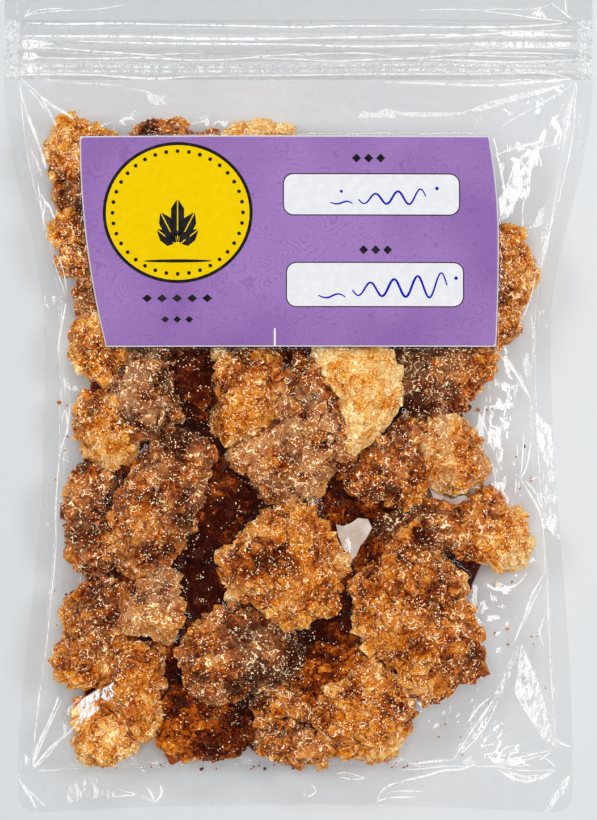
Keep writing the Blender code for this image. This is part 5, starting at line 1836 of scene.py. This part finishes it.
def ink_material(name, shared, colour, fade):
    """Ink of one colour."""
    material, tree = empty_material(name)
    look = use(tree, shared, {"Ink": (*colour, 1.0), "Faded": (*fade, 1.0)})
    surface = add(tree, "BsdfPrincipled", {
        "Base Color": look.outputs["Colour"],
        "Roughness": look.outputs["Roughness"],
        "Specular IOR Level": 0.05,
        "Normal": look.outputs["Normal"],
    })
    return surfaced(material, surface)


# Lights: name, direction and elevation in degrees, distance, width and height in metres, and power in watts
LIGHTS = [
    ("window", 165, 42, 1.1, 0.50, 0.26, 3.1),
    ("lamp", 10, 44, 1.1, 0.46, 0.24, 3.3),
    ("top_strip", 90, 44, 1.1, 0.70, 0.18, 2.8),
    ("low_strip", 275, 38, 1.1, 0.60, 0.14, 2.3),
    ("overhead", 90, 88, 1.5, 0.9, 0.9, 8.0),
]
CAMERA_HEIGHT, CAMERA_AWAY = 0.010, 1.2
# Studio walls: sine of the elevation and colour, from the table's level up to straight overhead
SKY = [
    (0.0, (0.60, 0.62, 0.64)), (0.5, (0.50, 0.51, 0.52)), (0.8, (0.08, 0.08, 0.085)),
    (1.0, (0.02, 0.02, 0.02)),
]
SKY_STRENGTH = 0.35
TABLE_HALF = 1.2


def make_stage():
    """A pale table with painted shade towards its left, soft lights round it and a camera that looks straight
    down.
    """
    material, tree = empty_material("Table")
    place = own_place(tree)
    cloud = noise_of(tree, place, 14.0, 3.0).outputs[0]
    tint_and_shade = ramp(tree, cloud, [(0.3, (0.745, 0.770, 0.790)), (0.7, (0.765, 0.790, 0.808))])
    # Painted shade: the table darker towards its left
    across = add(tree, "SeparateXYZ", {0: place}).outputs[0]
    tint_and_shade = blended(tree, between(tree, across, -0.09, 0.05), (0.69, 0.725, 0.75, 1.0), tint_and_shade)
    surface = add(tree, "BsdfPrincipled", {"Base Color": tint_and_shade, "Roughness": 0.55})
    surfaced(material, surface)
    mesh = bpy.data.meshes.new("table")
    corners = [(-TABLE_HALF, -TABLE_HALF, 0), (TABLE_HALF, -TABLE_HALF, 0)]
    corners += [(TABLE_HALF, TABLE_HALF, 0), (-TABLE_HALF, TABLE_HALF, 0)]
    mesh.from_pydata(corners, [], [(0, 1, 2, 3)])
    table = new_piece("table", mesh, material)

    world = bpy.data.worlds.new("Studio")
    bpy.context.scene.world = world
    world.use_nodes = True
    sky = world.node_tree
    direction = add(sky, "TexCoord").outputs["Generated"]
    level = add(sky, "SeparateXYZ", {0: direction}).outputs[2]
    glow = ramp(sky, level, SKY)
    sky.links.new(glow, sky.nodes["Background"].inputs[0])
    sky.nodes["Background"].inputs[1].default_value = SKY_STRENGTH
    for name, around, up, away, wide, tall, power in LIGHTS:
        lamp = bpy.data.lights.new(name, "AREA")
        lamp.shape = "RECTANGLE"
        lamp.size, lamp.size_y = wide, tall
        lamp.energy = power
        light = new_piece(name, lamp)
        turn, rise = math.radians(around), math.radians(up)
        way = Vector((math.cos(turn) * math.cos(rise), math.sin(turn) * math.cos(rise), math.sin(rise)))
        light.location = way * away
        light.rotation_mode = "QUATERNION"
        light.rotation_quaternion = way.to_track_quat("Z", "Y")
        light.visible_glossy = name != "overhead"

    lens = bpy.data.cameras.new("Camera")
    lens.sensor_width = 36.0
    lens.lens = lens.sensor_width * CAMERA_AWAY / (PHOTO_SIZE[1] * PIXEL)
    lens.clip_start, lens.clip_end = 0.05, 10.0
    camera = new_piece("Camera", lens)
    x, y = spot((PHOTO_SIZE[0] / 2, PHOTO_SIZE[1] / 2))
    camera.location = (x, y, CAMERA_HEIGHT + CAMERA_AWAY)
    bpy.context.scene.camera = camera
    bpy.context.scene.view_settings.view_transform = "Standard"


def main():
    """Builds the candy, the film over it, the label and the stage."""
    sugar = sugar_group()
    looks = {}
    for look, facts in SUGAR_LOOKS.items():
        looks[look] = sugar_material("Sugar " + look, sugar, *facts)
    film = film_group()
    candy = make_candy(looks)
    make_crumbs(looks["amber"])
    front = make_film(candy, film_material("Pouch film", film, 0.30, 0.006))
    zip_film = film_material("Zip film", film, 0.15, 0.02)
    zip_front = make_zip_half("zip_front", 1, zip_film)
    make_painted_highlights([front, zip_front], highlight_material("Painted film highlights"))
    make_gap_light(front, gap_light_material("Painted light in the gaps"))
    make_zip_half("zip_back", -1, zip_film)
    make_label(card_material("Label card"))
    ink = ink_group()
    make_print(
        ink_material("Yellow ink", ink, (0.86, 0.58, 0.0), (0.90, 0.63, 0.002)),
        ink_material("Black ink", ink, (0.012, 0.011, 0.014), (0.03, 0.028, 0.032)),
        ink_material("White ink", ink, (0.78, 0.79, 0.82), (0.84, 0.85, 0.87)),
        ink_material("Blue ink", ink, (0.004, 0.006, 0.42), (0.012, 0.02, 0.50)),
    )
    make_stage()


main()
